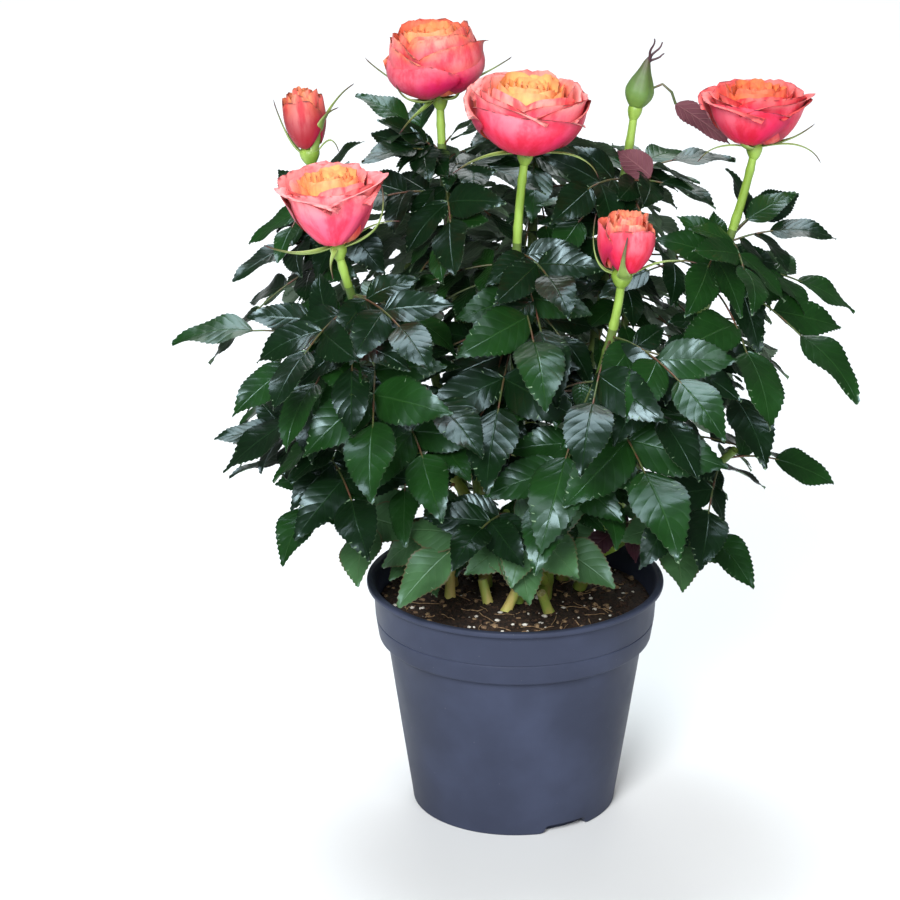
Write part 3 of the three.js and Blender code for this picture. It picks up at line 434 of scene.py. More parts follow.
# The hip under a flower, as (share of its girth, height)
HIP_PROFILE = [(0.1, -8), (0.5, -7), (0.8, -5), (1, -2.8), (0.95, -0.8), (0.6, 0.8), (0.02, 1.4)]
PETAL_POINT = 3.2
LIP_REACH = 38
PETAL_ROWS = 14
PETAL_COLUMNS = 15
PETAL_TURN = 0.38
PETAL_THICKNESS = 0.35
# How wide a petal's foot is, of the flower's; and how petals of one whorl differ, in this order of draws
PETAL_FOOT = {"open": 0.2, "opening": 0.4}
PETAL_VARIES = {
    "wide": (0.97, 1.03), "tall": (0.94, 1.02), "span": (0.92, 1.08), "turn": (-0.16, 0.16),
    "curl": (0.5, 1.5),
}
# A thin sheet's thickness at its rims, of that within
RIM_THICKNESS = 0.25

# Petal colours of each bloom: in the heart, halfway out, at the rims, on the outer backs, and burnt edges
PALETTE_KEYS = ("heart", "middle", "lip", "rim", "pink", "back", "burnt")
PALETTES = {
    "top_left": ("ffc678", "fba06a", "f0805e", "e2583e", "e66470", "c00c50", "542a2c"),
    "top_middle": ("ffd880", "fdb070", "fa9c94", "f05658", "f26c84", "e02458", "6c3a34"),
    "left": ("ffd884", "fcac6e", "f99694", "f05e5c", "fa9294", "f2587a", "8a3c42"),
    "right": ("f89c4c", "f07850", "ea6460", "d83444", "e43c64", "d20e48", "4e1a30"),
    "far_left": ("ec9a60", "e4845a", "e49060", "b03a30", "cc5e4c", "9c2430", "5a2c2c"),
    "front": ("fcbc84", "f8a070", "f49a74", "dc3c44", "e45064", "d4204a", "7a3830"),
}
# Stops from foot to rim of each finish, by the colours above: the upper face and then the back
FACES = [
    (("heart", 0.0), ("heart", 0.75), ("middle", 1.0)),
    (("heart", 0.0), ("middle", 0.6), ("lip", 1.0)),
    (("heart", 0.0), ("middle", 0.45), ("lip", 0.8)),
    (("middle", 0.0), ("rim", 0.5), ("lip", 0.95)),
]
BACKS = [
    (("heart", 0.0), ("heart", 0.6), ("middle", 0.95)),
    (("heart", 0.0), ("middle", 0.45), ("lip", 0.95)),
    (("middle", 0.0), ("rim", 0.25), ("pink", 0.75), ("lip", 1.0)),
    (("back", 0.0), ("back", 0.55), ("pink", 0.95)),
]
BURNT = (0.08, 0.35, 0.75, 1.0)
# The deeper colour that feathers a petal lengthwise, and how much of it each side has
FEATHER = (0.86, 0.3, 0.42, 1.0)
FEATHERED = {"face": 0.5, "back": 1.0}
# The pale middle of a petal's upper half, and the deep red painted shade on its sides toward its foot, where
# petals overlap; and how much of each a side has
PALE = (0.98, 0.46, 0.46, 1.0)
PALENESS = {"face": 0.12, "back": 0.24}
PAINTED_SHADE_RED = (0.32, 0.005, 0.05, 1.0)
PAINTED_SHADE_SHARE = {"face": 0.0, "back": 0.85}
# A sepal's width along it, and its thickness
SEPAL_WIDTHS = [(0, 0.7), (0.14, 1.0), (0.36, 0.8), (0.6, 0.34), (1, 0.07)]
SEPAL_THICKNESS = 0.4
# Greens of the sepals and of the closed bud, from foot to tip
SEPAL_STOPS = {
    "open": [("8aa452", 0.0), ("7c9648", 0.45), ("66703a", 0.7), ("4c2c2a", 0.95)],
    "closed": [("72903e", 0.0), ("587838", 0.45), ("4c5c32", 0.75), ("4a3430", 1.0)],
}

# Floor and lights, in metres. A light has its name, place, target, size, power and colour.
FLOOR_REACH = 4.0
LIGHTS = [
    ("key", (-0.45, -1.9, 1.45), (0, 0, 0.18), 0.8, 72, (0.95, 0.98, 1.0)),
    ("fill", (0.8, -1.8, 0.9), (0, 0, 0.18), 1.0, 14, (1.0, 1.0, 1.0)),
    ("top", (-0.2, 0.6, 2.0), (0, 0, 0.18), 1.2, 46, (0.86, 0.95, 1.0)),
    ("backdrop", (0, 2.4, 1.8), (0, 1.7, 0), 1.6, 26, (1.0, 1.0, 1.0)),
]


# Small helpers


def unit(vector):
    return vector / np.linalg.norm(vector)


def lerp(start, end, share):
    return start + (end - start) * share


def smooth(share):
    """Eases a share from 0 to 1, and holds it there outside that range."""
    share = np.clip(share, 0, 1)
    return share * share * (3 - 2 * share)


def along(pairs, places):
    """The values at places on a line through (place, value) pairs."""
    return np.interp(places, [pair[0] for pair in pairs], [pair[1] for pair in pairs])


def square(vector, forward):
    """The unit vector square to a forward one that lies nearest to another."""
    return unit(vector - forward * np.dot(forward, vector))


def curve(start, handle, end, t):
    """The points at shares t of the way along a curve from start to end, bent towards its handle."""
    return (1 - t) ** 2 * start + 2 * t * (1 - t) * handle + t * t * end


def added(name, data):
    """A new object in the scene that holds some data."""
    made = bpy.data.objects.new(name, data)
    bpy.context.scene.collection.objects.link(made)
    return made


def turned(vector, axis, angle):
    """A vector turned about a unit axis."""
    along_axis = axis * (np.dot(axis, vector) * (1 - math.cos(angle)))
    return vector * math.cos(angle) + np.cross(axis, vector) * math.sin(angle) + along_axis


def multiplied(a, b):
    """The product of two whole numbers, kept to 32 bits."""
    return (a * b) & 0xFFFFFFFF


def seeded_random(seed):
    """Gives even pseudo-random numbers from 0 to 1, the same ones as the part's on every run."""
    state = seed

    def draw():
        nonlocal state
        state = (state + 0x6D2B79F5) & 0xFFFFFFFF
        mixed = multiplied(state ^ (state >> 15), state | 1)
        mixed ^= (mixed + multiplied(mixed ^ (mixed >> 7), mixed | 61)) & 0xFFFFFFFF
        return (mixed ^ (mixed >> 14)) / 4294967296

    return draw


# Meshes are grids of points, many to a piece


class Piece:
    """Gathers grids of points, each with its finish, into one mesh.

    Every grid has surface coordinates from 0 to 1 across and along it, and a cell of its own in the
    second map, so that finishes which follow a leaf or petal stay clear when the model leaves Blender.
    """

    def __init__(self):
        self.points = []
        self.corners = []
        self.places = []
        self.cells = []
        self.finishes = []
        self.point_count = 0
        self.cell_count = 0

    def add(self, grids, finishes=0, closed=False, flipped=False):
        """Adds grids of shape (grid, row, column, 3). A closed grid joins its last column to its first."""
        grids = np.asarray(grids, float)
        if grids.ndim == 3:
            grids = grids[None]
        count, rows, columns, _ = grids.shape
        spans = columns if closed else columns - 1
        row, column = np.meshgrid(np.arange(rows - 1), np.arange(spans), indexing="ij")
        row, column = row.ravel(), column.ravel()
        beside = (column + 1) % columns
        here, above = row * columns, (row + 1) * columns
        quad = np.stack([here + column, here + beside, above + beside, above + column], axis=1)
        across = np.stack([column, column + 1, column + 1, column], axis=1) / spans
        upward = np.stack([row, row, row + 1, row + 1], axis=1) / (rows - 1)
        place = np.stack([across, upward], axis=2)
        if flipped:
            quad, place = quad[:, ::-1], place[:, ::-1]
        starts = self.point_count + np.arange(count) * rows * columns
        self.points.append(grids.reshape(-1, 3))
        self.corners.append((quad[None] + starts[:, None, None]).reshape(-1, 4))
        self.places.append(np.tile(place, (count, 1, 1)))
        self.cells.append(np.repeat(self.cell_count + np.arange(count), len(quad)))
        self.finishes.append(np.repeat(np.broadcast_to(finishes, count), len(quad)))
        self.point_count += count * rows * columns
        self.cell_count += count

    def made(self, name, materials, slot, nodes):
        """Makes the mesh and its object, which stands for the named nodes of the part."""
        points = np.concatenate(self.points) * MM
        corners = np.concatenate(self.corners)
        places = np.concatenate(self.places)
        cells = np.concatenate(self.cells)
        mesh = bpy.data.meshes.new(name)
        mesh.vertices.add(len(points))
        mesh.vertices.foreach_set("co", points.ravel())
        mesh.loops.add(corners.size)
        mesh.loops.foreach_set("vertex_index", corners.ravel())
        mesh.polygons.add(len(corners))
        mesh.polygons.foreach_set("loop_start", np.arange(len(corners)) * 4)
        mesh.polygons.foreach_set("material_index", np.concatenate(self.finishes))
        mesh.update(calc_edges=True)
        mesh.shade_smooth()
        surface = mesh.uv_layers.new(name="Surface")
        surface.data.foreach_set("uv", places.ravel())
        side = math.ceil(math.sqrt(self.cell_count))
        corner = np.stack([cells % side, cells // side], axis=1)[:, None, :]
        laid = (corner + CELL_MARGIN + places * (1 - 2 * CELL_MARGIN)) / side
        mesh.uv_layers.new(name="OFBake").data.foreach_set("uv", laid.ravel())
        surface.active_render = True
        for material in materials:
            mesh.materials.append(material)
        made = added(name, mesh)
        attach(made, "root")
        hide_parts(*nodes)


def round_angles(sides):
    return np.arange(sides) * 2 * math.pi / sides


def tube_grid(centres, radii, sides, flat=1.0):
    """A round tube through centres, as rows of sides points. A flat below 1 makes it oval."""
    centres = np.asarray(centres, float)
    radii = np.broadcast_to(radii, len(centres))
    headings = np.gradient(centres, axis=0)
    headings /= np.linalg.norm(headings, axis=1, keepdims=True)
    hint = BACK if abs(headings[0, 1]) < 0.9 else UP
    across = np.cross(headings, hint)
    across /= np.linalg.norm(across, axis=1, keepdims=True)
    upward = np.cross(headings, across)
    angles = round_angles(sides)
    rings = across[:, None] * np.cos(angles)[:, None] + flat * upward[:, None] * np.sin(angles)[:, None]
    return centres[:, None] + rings * radii[:, None, None]


def lathe_grid(profile, sides):
    """A turned surface from its (radius, height) profile."""
    radius, height = np.asarray(profile, float).T
    angles = round_angles(sides)
    ring = np.stack([np.cos(angles), np.sin(angles), np.zeros(sides)], axis=1)
    return ring[None] * radius[:, None, None] + UP * height[:, None, None]


def rounded(profile, corner):
    """A profile whose inner corners are each eased into a short curve."""
    eased = [np.asarray(profile[0], float)]
    for before, at, after in zip(profile, profile[1:], profile[2:]):
        before, at, after = (np.asarray(point, float) for point in (before, at, after))
        reach = min(corner, np.linalg.norm(at - before) / 2.2, np.linalg.norm(after - at) / 2.2)
        start = at + unit(before - at) * reach
        end = at + unit(after - at) * reach
        for t in np.linspace(0, 1, CORNER_STEPS):
            eased.append(curve(start, at, end, t))
    eased.append(np.asarray(profile[-1], float))
    return eased


# Materials


def linear(code):
    """A colour written as six hexadecimal digits, as Blender's own red, green, blue and alpha."""
    shares = [int(code[i : i + 2], 16) / 255 for i in (0, 2, 4)]
    return (*(s / 12.92 if s <= 0.04045 else ((s + 0.055) / 1.055) ** 2.4 for s in shares), 1.0)


class Finish:
    """A material and its nodes."""

    def __init__(self, name, roughness, **settings):
        self.material = bpy.data.materials.new(name)
        self.material.use_nodes = True
        self.tree = self.material.node_tree
        self.shader = self.tree.nodes["Principled BSDF"]
        self.put(self.shader, "Roughness", roughness)
        for socket, value in settings.items():
            self.put(self.shader, socket.replace("_", " "), value)

    def put(self, node, socket, value):
        """Sets a socket to a value, or links it to another node's socket."""
        if isinstance(value, bpy.types.NodeSocket):
            self.tree.links.new(value, node.inputs[socket])
        else:
            node.inputs[socket].default_value = value

    def node(self, kind, settings=None, **sockets):
        made = self.tree.nodes.new("ShaderNode" + kind)
        for name, value in (settings or {}).items():
            setattr(made, name, value)
        for socket, value in sockets.items():
            self.put(made, socket.replace("_", " "), value)
        return made

    def result(self, operation, a, b=0.0):
        made = self.node("Math", {"operation": operation})
        self.put(made, 0, a)
        self.put(made, 1, b)
        return made.outputs[0]

    plus = partialmethod(result, "ADD")
    less = partialmethod(result, "SUBTRACT")
    times = partialmethod(result, "MULTIPLY")
    most = partialmethod(result, "MAXIMUM")

    def range(self, value, start, end, low=0.0, high=1.0):
        """A value's smooth way from start to end, as a number from low to high."""
        made = self.node("MapRange", {"interpolation_type": "SMOOTHSTEP"}, Value=value)
        for socket, number in ((1, start), (2, end), (3, low), (4, high)):
            self.put(made, socket, number)
        return made.outputs[0]

    def mix(self, share, start, end, blend="MIX"):
        made = self.node("Mix", {"data_type": "RGBA", "blend_type": blend})
        self.put(made, 0, share)
        self.put(made, 6, start)
        self.put(made, 7, end)
        return made.outputs[2]

    def ramp(self, value, stops):
        """A colour for a value, from stops of (place, colour)."""
        made = self.node("ValToRGB", Fac=value)
        elements = made.color_ramp.elements
        while len(elements) < len(stops):
            elements.new(0.5)
        for element, (place, colour) in zip(elements, stops):
            element.position = place
            element.color = colour
        return made.outputs[0]

    def noise(self, scale, detail=2.0, roughness=0.5, where=None):
        sockets = {"Scale": scale, "Detail": detail, "Roughness": roughness}
        if where is None:
            where = self.node("TexCoord").outputs["Object"]
        return self.node("TexNoise", Vector=where, **sockets).outputs[0]

    def uneven(self, value, scale, amount):
        """A value shifted up and down by a noise."""
        return self.plus(value, self.times(self.less(self.noise(scale, 3.0), 0.5), amount))

    def surface(self):
        """How far a point lies across its grid, from its middle line, and along it."""
        split = self.node("SeparateXYZ")
        self.put(split, 0, self.node("UVMap", {"uv_map": "Surface"}).outputs[0])
        across, upward = split.outputs[0], split.outputs[1]
        return across, self.result("ABSOLUTE", self.less(self.times(across, 2.0), 1.0)), upward

    def colour(self, value):
        self.put(self.shader, "Base Color", value)

    def bump(self, height, distance, strength):
        made = self.node("Bump", Height=height, Distance=distance * MM, Strength=strength)
        self.put(self.shader, "Normal", made.outputs[0])


# Shoots, by the part's own rule


class Shoot:
    """One smooth curve from the soil, or from a fork, to its top."""

    def __init__(self, row, earlier):
        self.name, foot, rise, lead, top, leaves, centre, self.named = row
        self.parent = next((shoot for shoot in earlier if shoot.name == foot[0]), None)
        if self.parent:
            start = self.parent.point(self.parent.share_at(foot[1]))
        else:
            start = np.array([*foot, SOIL["top"] + GAP], float)
        end = np.array(top, float)
        self.handles = [start, start + rise, end + lead, end]
        self.foot_radius = BOUGH_FOOT_RADIUS if self.parent else CANE_FOOT_RADIUS
        self.enter, self.leave = (self.share_at(height) for height in leaves)
        self.centre = np.array(centre, float)

    def point(self, share):
        t = np.asarray(share, float)[..., None]
        a, b, c, d = self.handles
        return (1 - t) ** 3 * a + 3 * t * (1 - t) ** 2 * b + 3 * t * t * (1 - t) * c + t**3 * d

    def radius(self, share):
        return lerp(self.foot_radius, SHOOT_TOP_RADIUS, share)

    def share_at(self, height):
        """The share of the way at which the rising curve reaches a height."""
        low, high = 0.0, 1.0
        for _ in range(30):
            middle = (low + high) / 2
            if self.point(middle)[2] < height:
                low = middle
            else:
                high = middle
        return low

    def length(self, start, end):
        return np.linalg.norm(np.diff(self.point(np.linspace(start, end, 24)), axis=0), axis=1).sum()


# Leaves, by the part's own rule


class Leaflet:
    """A leaflet's foot and length, and its directions forward, to the left and off its face."""

    def __init__(self, base, forward, normal, length, wide=1.0):
        self.wide = wide
        self.base = base
        self.forward = forward
        self.normal = normal
        self.left = np.cross(normal, forward)
        self.length = length

    def hull(self):
        places = np.array(LEAFLET_HULL, float)
        half = places[:, 1] * LEAFLET_WIDTH * self.length / 2
        return (
            self.base
            + places[:, :1] * self.length * self.forward
            + half[:, None] * self.left
            + (LEAFLET_FOLD * np.abs(half))[:, None] * self.normal
        )


class Leaf:
    """A compound leaf's plan: its curved stalk, its terminal leaflet and its pairs of laterals."""

    def __init__(self, root, tip, roll, front=0.0, terminal=0.0):
        span = np.linalg.norm(tip - root)
        start = max(SHORTEST_START, min(TERMINAL_START, 1 - terminal / span))
        handle = lerp(root, tip, LEAF_HANDLE) + UP * LEAF_ARCH * span
        outward = unit((root + tip) * [1, 1, 0])
        facing = UP + LEAF_FACES_OUT * outward + front * FRONT
        self.root, self.tip, self.handle = root, tip, handle

        def normal_of(forward, turn):
            return turned(square(facing, forward), forward, turn)

        self.start = start
        end = self.at(start)
        forward = unit(tip - end)
        length = np.linalg.norm(tip - end)
        self.terminal = Leaflet(end, forward, normal_of(forward, roll), length)
        self.joints = [root]
        self.laterals = []
        for pair in PAIRS:
            share = pair["at"] * start / TERMINAL_START
            base = self.at(share)
            heading = self.heading(share)
            left = np.cross(normal_of(heading, roll), heading)
            self.joints.append(base)
            for side in (1, -1):
                aside = side * math.sin(pair["angle"]) * left - LATERAL_DROOP * UP
                forward = unit(math.cos(pair["angle"]) * heading + aside)
                normal = normal_of(forward, roll + side * LATERAL_ROLL)
                self.laterals.append(Leaflet(base, forward, normal, length * pair["length"]))
        self.joints.append(end)

    def at(self, share):
        return curve(self.root, self.handle, self.tip, np.asarray(share, float)[..., None])

    def heading(self, share):
        return unit((self.handle - self.root) * (1 - share) + (self.tip - self.handle) * share)


class Obstacles:
    """What leaves keep clear of: groups of up to six points, with directions along which to look for a gap.

    Each has the number of its shoot, and is a limb, the stem of a mass, a blade or a leaf's stalk.
    """

    LIMB, STEM, BLADE, STALK = range(4)

    def __init__(self):
        self.points = np.zeros((MOST_PIECES, GROUP_POINTS, 3))
        self.radius = np.zeros(MOST_PIECES)
        self.normals = np.zeros((MOST_PIECES, 3, 3))
        self.edges = np.zeros((MOST_PIECES, 2, 3))
        self.low = np.zeros((MOST_PIECES, 3))
        self.high = np.zeros((MOST_PIECES, 3))
        self.shoot = np.full(MOST_PIECES, -1)
        self.kind = np.zeros(MOST_PIECES, int)
        self.count = 0

    def add(self, group, shoot, kind):
        points, radius, normals, edges = group
        i = self.count
        self.points[i] = points[[min(k, len(points) - 1) for k in range(GROUP_POINTS)]]
        self.radius[i] = radius
        self.normals[i, : len(normals)] = np.reshape(normals, (-1, 3))
        self.edges[i, : len(edges)] = np.reshape(edges, (-1, 3))
        self.low[i] = points.min(0) - radius - LEAF_CLEARANCE
        self.high[i] = points.max(0) + radius + LEAF_CLEARANCE
        self.shoot[i] = shoot
        self.kind[i] = kind
        self.count += 1

    def clear(self, group, blocking):
        """Whether a group has the clearance from all the obstacles that block it."""
        points, radius, normals, edges = group
        reach = radius + LEAF_CLEARANCE
        count = self.count
        meets = (self.low[:count] <= points.max(0) + reach).all(1)
        meets &= (self.high[:count] >= points.min(0) - reach).all(1)
        near = np.flatnonzero(meets & blocking[:count])
        if not len(near):
            return True
        others = self.points[near]
        directions = [self.normals[near], (others.mean(1) - points.mean(0))[:, None]]
        if len(normals):
            directions.append(np.broadcast_to(normals, (len(near), len(normals), 3)))
        for edge in edges:
            directions.append(np.cross(edge, self.edges[near]))
        directions = np.concatenate(directions, axis=1)
        sizes = np.linalg.norm(directions, axis=2)
        own = directions @ points.T
        theirs = np.einsum("nqk,npk->nqp", directions, others)
        gaps = np.maximum(theirs.min(2) - own.max(2), own.min(2) - theirs.max(2))
        gaps = np.where(sizes > 1e-3, gaps / np.maximum(sizes, 1e-3), -np.inf)
        return bool((gaps.max(1) > self.radius[near] + reach).all())


def rod(start, end, radius):
    return np.array([start, end]), radius, [], [unit(end - start)]


def blade(leaflet):
    radius = LEAFLET_THICKNESS * leaflet.length / 2
    directions = [leaflet.forward, leaflet.left]
    return leaflet.hull(), radius, [leaflet.normal, *directions], directions


def axis_of(bloom):
    sideways, front = bloom["lean"]
    return unit(np.array([sideways, -front, 1.0]))


def add_fixed(obstacles, shoots):
    """Adds all that isn't a leaf: the shoots' stretches, the flowers and the pot's lip."""
    for number, shoot in enumerate(shoots):
        stretches = [
            (0, shoot.enter, "limb", Obstacles.LIMB),
            (shoot.enter, shoot.leave, "stem", Obstacles.STEM),
        ]
        bloom = next((bloom for bloom in BLOOMS if bloom["on"] == shoot.name), None)
        if bloom:
            stretches.append((shoot.leave, 1, "stalk", Obstacles.LIMB))
            radius, height = bloom["size"]
            middle = shoot.point(1) + axis_of(bloom) * (HIP_LENGTH + height / 2)
            reach = 1 + max(BLOOM_REACH[0] * radius, BLOOM_REACH[1] * height)
            obstacles.add((middle[None], reach, [], []), -1, Obstacles.LIMB)
        for start, end, steps, kind in stretches:
            shares = np.linspace(start, end, ROD_STEPS[steps] + 1)
            for a, b in zip(shares, shares[1:]):
                obstacles.add(rod(shoot.point(a), shoot.point(b), shoot.radius(a)), number, kind)
    angles = np.linspace(0, 2 * math.pi, LIP_STEPS + 1)
    radius = POT["lip_radius"] - POT["lip_width"] / 2
    height = np.full(len(angles), POT["lip_height"])
    lip = np.stack([radius * np.cos(angles), radius * np.sin(angles), height], axis=1)
    for a, b in zip(lip, lip[1:]):
        obstacles.add(rod(a, b, POT["lip_width"]), -1, Obstacles.LIMB)


class Mass:
    """The leaves of one shoot, which keep to its space."""

    def __init__(self, number, shoot):
        self.number = number
        self.shoot = shoot
        self.leaves = []
        self.count = 0
        self.azimuth = 0.0


def inside_crown(points, named):
    """Whether points keep outside the pot and inside the crown's reach, which named leaves set themselves."""
    x, y, z = points.T
    beside_pot = np.hypot(x, y) > POT["lip_radius"] + POT_CLEARANCE["beside"]
    above_pot = z > POT["height"] + POT_CLEARANCE["above"]
    in_reach = named | (np.hypot(x, y / CROWN_DEPTH) < along(CROWN_REACH, z))
    return bool(((beside_pot | above_pot) & in_reach & (z > CROWN_REACH[0][0])).all())


def hides_open(leaflet):
    """Whether a leaflet would cover a box of the photograph in which sky or soil shows."""
    spine = leaflet.base + np.linspace(0.1, 0.95, 5)[:, None] * leaflet.length * leaflet.forward
    across, down = pictured(np.concatenate([spine, leaflet.hull()]))
    return any(((across > a) & (across < c) & (down > b) & (down < d)).any() for a, b, c, d in OPEN)


def inside_space(points, mass, masses):
    """Whether points keep to their mass's space, which ends a little past the middle to each other mass."""
    centres = np.array([other.shoot.centre for other in masses if other is not mass])
    own = ((points - mass.shoot.centre) ** 2).sum(1)[:, None]
    theirs = ((points[:, None] - centres) ** 2).sum(2)
    spans = np.linalg.norm(centres - mass.shoot.centre, axis=1)
    return bool(((theirs - own) / (2 * spans) > -MASS_OVERREACH).all())


def kept(leaf, least, mass, masses, obstacles, named=False):
    """Adds a leaf to its mass, without the leaflets that don't fit, and tells whether it could."""
    count = obstacles.count
    kind, own = obstacles.kind[:count], obstacles.shoot[:count] == mass.number
    ignored = own & ((kind == Obstacles.STEM) | (kind == Obstacles.STALK))
    if named:
        ignored |= own & (kind == Obstacles.BLADE)
    blocking = ~ignored
    beside_rods = blocking & ~(own & (kind == Obstacles.LIMB))

    def fits(leaflet):
        group = blade(leaflet)
        inside = inside_crown(group[0], named) and inside_space(group[0], mass, masses)
        seen = named and leaflet is leaf.terminal
        return inside and (seen or not hides_open(leaflet)) and obstacles.clear(group, blocking)

    rods = [rod(a, b, LEAF_STALK_RADIUS) for a, b in zip(leaf.joints, leaf.joints[1:])]
    if not all(obstacles.clear(group, beside_rods) for group in rods):
        return False
    if not inside_crown(np.array(leaf.joints), named) or not fits(leaf.terminal):
        return False
    leaf.laterals = [leaflet for leaflet in leaf.laterals if fits(leaflet)]
    if len(leaf.laterals) + 1 < least:
        return False
    mass.leaves.append(leaf)
    for group in rods:
        obstacles.add(group, mass.number, Obstacles.STALK)
    for leaflet in [leaf.terminal, *leaf.laterals]:
        obstacles.add(blade(leaflet), mass.number, Obstacles.BLADE)
    return True


def grow_leaf(mass, i, masses, obstacles, random):
    """Grows the next leaf of a mass, turned from the last, at the first size and turn at which it fits."""
    shoot = mass.shoot
    root = shoot.point(lerp(shoot.enter, shoot.leave, (i + 0.5) / mass.count))
    mass.azimuth += LEAF_TURN
    full = lerp(*LEAF_REACH, random())
    slant = lerp(*LEAF_SLANT, random())
    roll = LEAF_ROLL * (random() - 0.5)
    for size in LEAF_SIZES:
        for turn in LEAF_TURNS:
            heading = mass.azimuth + turn
            away = np.array([math.cos(heading), math.sin(heading), -slant])
            least = FEWEST_LEAFLETS["full" if size == 1 else "small"]
            if kept(Leaf(root, root + away * full * size, roll), least, mass, masses, obstacles):
                return


def grow_leaves(shoots, random):
    """Grows the leaves of all the masses: the named ones first, then one more on each mass in turn."""
    masses = [Mass(number, shoot) for number, shoot in enumerate(shoots)]
    obstacles = Obstacles()
    add_fixed(obstacles, shoots)
    for mass in masses:
        shoot = mass.shoot
        edge_on = SEEN_EDGE_ON.get(shoot.name, {})
        for i, (height, *tip) in enumerate(shoot.named + MORE_LEAVES.get(shoot.name, [])):
            root = shoot.point(shoot.share_at(height))
            roll = LEAF_ROLL * (random() - 0.5)
            front = edge_on.get(i, NAMED_LEAF_FACES_FRONT)
            leaf = Leaf(root, np.array(tip, float), roll, front, NAMED_TERMINAL)
            kept(leaf, FEWEST_LEAFLETS["named"], mass, masses, obstacles, named=True)
        length = shoot.length(shoot.enter, shoot.leave)
        mass.count = int(length / LEAF_SPACING) - len(mass.leaves)
        mass.azimuth = 2 * math.pi * random()
    for i in range(max(mass.count for mass in masses)):
        for mass in masses:
            if i < mass.count:
                grow_leaf(mass, i, masses, obstacles, random)
    return masses


# Finishes


def leaf_lines(finish):
    """A point's distance from the midrib, its nearness to a side vein, and how strong the veins are there."""
    _, aside, upward = finish.surface()
    slanted = finish.times(aside, -VEIN_SLANT)
    phase = finish.plus(finish.times(upward, VEINS), slanted)
    wave = finish.result("ABSOLUTE", finish.less(finish.result("FRACT", phase), 0.5))
    fading = finish.range(upward, 0.95, 0.6)
    return aside, finish.times(wave, 2.0), fading


def leaf_finish(name, colour, vein, edge, roughness):
    """The upper face of a leaflet: a pale midrib, sunken side veins and a darker or browner edge."""
    finish = Finish(name, roughness, Specular_IOR_Level=0.42, Specular_Tint=SHINE)
    aside, wave, fading = leaf_lines(finish)
    veins = finish.times(finish.range(wave, 0.8, 1.0), fading)
    midrib = finish.range(aside, MIDRIB_WIDTH, 0.0)
    lighter = (*(MOTTLE * share for share in colour[:3]), 1.0)
    mottled = finish.mix(finish.range(finish.noise(70.0, 3.0), 0.3, 0.7), colour, lighter)
    lines = finish.most(finish.times(veins, 0.13), finish.times(midrib, 0.45))
    veined = finish.mix(lines, mottled, vein)
    finish.colour(finish.mix(finish.range(aside, 0.9, 1.0, 0.0, 0.7), veined, edge))
    valley = finish.times(finish.result("POWER", wave, 2.4), finish.times(fading, 0.55))
    relief = finish.most(valley, finish.times(midrib, 1.3))
    grain = finish.times(finish.noise(420.0), 0.22)
    finish.bump(finish.less(grain, relief), 0.25, 0.55)
    return finish.material


def under_finish(name, colour, vein):
    """The underside of a leaflet, paler and dull, with raised veins."""
    finish = Finish(name, 0.7)
    aside, wave, _ = leaf_lines(finish)
    lines = finish.most(finish.range(wave, 0.75, 1.0), finish.range(aside, 0.08, 0.0))
    finish.colour(finish.mix(finish.times(lines, 0.6), colour, vein))
    finish.bump(lines, 0.3, 0.6)
    return finish.material


def stem_finish(name, colour, other, roughness=0.45):
    """Green bark, streaked lengthwise in a second colour."""
    finish = Finish(name, roughness)
    place = finish.node("TexCoord").outputs["Object"]
    where = finish.node("Mapping", Vector=place, Scale=(1, 1, 0.25)).outputs[0]
    streaks = finish.range(finish.noise(160.0, 3.0, where=where), 0.4, 0.65)
    finish.colour(finish.mix(streaks, linear(colour), linear(other)))
    finish.bump(finish.noise(800.0, where=where), 0.25, 0.5)
    return finish.material


def sepal_finish(name, kind, edge):
    """A sepal's green, which turns brown to its tip and is paler along its edges."""
    finish = Finish(name, 0.55)
    _, aside, upward = finish.surface()
    stops = [(place, linear(code)) for code, place in SEPAL_STOPS[kind]]
    colour = finish.ramp(finish.uneven(upward, 300.0, 0.3), stops)
    rim = finish.times(finish.range(aside, 0.7, 0.95), finish.range(upward, 0.8, 0.5))
    finish.colour(finish.mix(finish.times(rim, 0.6), colour, linear(edge)))
    finish.bump(finish.noise(900.0), 0.15, 0.5)
    return finish.material


def petal_finish(name, stops, edge, side, burnt, amount):
    """A petal's colour from its foot to its rim: pale in the middle, painted shade of deep red at the sides,
    finely veined.
    """
    finish = Finish(name, 0.5, Sheen_Weight=0.06, Specular_IOR_Level=0.2)
    across, aside, upward = finish.surface()
    colour = finish.ramp(finish.uneven(upward, 260.0, 0.28), stops)
    middle = finish.times(finish.range(aside, 0.75, 0.05), finish.range(upward, 0.2, 0.75))
    colour = finish.mix(finish.times(middle, amount * PALENESS[side]), colour, PALE)
    # Deep red painted shade on the sides of the petal's lower part, where petals overlap and shade each other
    sides = finish.times(finish.range(aside, 0.5, 1.0), finish.range(upward, 1.0, 0.5))
    colour = finish.mix(finish.times(sides, amount * PAINTED_SHADE_SHARE[side]), colour, PAINTED_SHADE_RED)
    corner = finish.times(finish.range(aside, 0.6, 1.0), finish.range(upward, 0.65, 0.95))
    blotched = finish.most(corner, finish.range(upward, 0.93, 1.0))
    blotched = finish.times(blotched, finish.range(finish.noise(320.0, 3.0), 0.4, 0.6, 0.0, burnt))
    apart = finish.times(finish.noise(12.0), 9.0)

    def lengthwise(scale):
        aside, along = finish.times(across, scale), finish.times(upward, 1.4)
        return finish.noise(1.0, 4.0, 0.6, finish.node("CombineXYZ", X=aside, Y=along, Z=apart).outputs[0])

    feathers = finish.range(lengthwise(6.0), 0.4, 0.66, 0.0, amount * FEATHERED[side])
    colour = finish.mix(feathers, colour, FEATHER, "MULTIPLY")
    finish.colour(finish.mix(blotched, colour, edge))
    finish.bump(finish.plus(lengthwise(26.0), finish.noise(200.0)), 0.35, 0.6)
    return finish.material


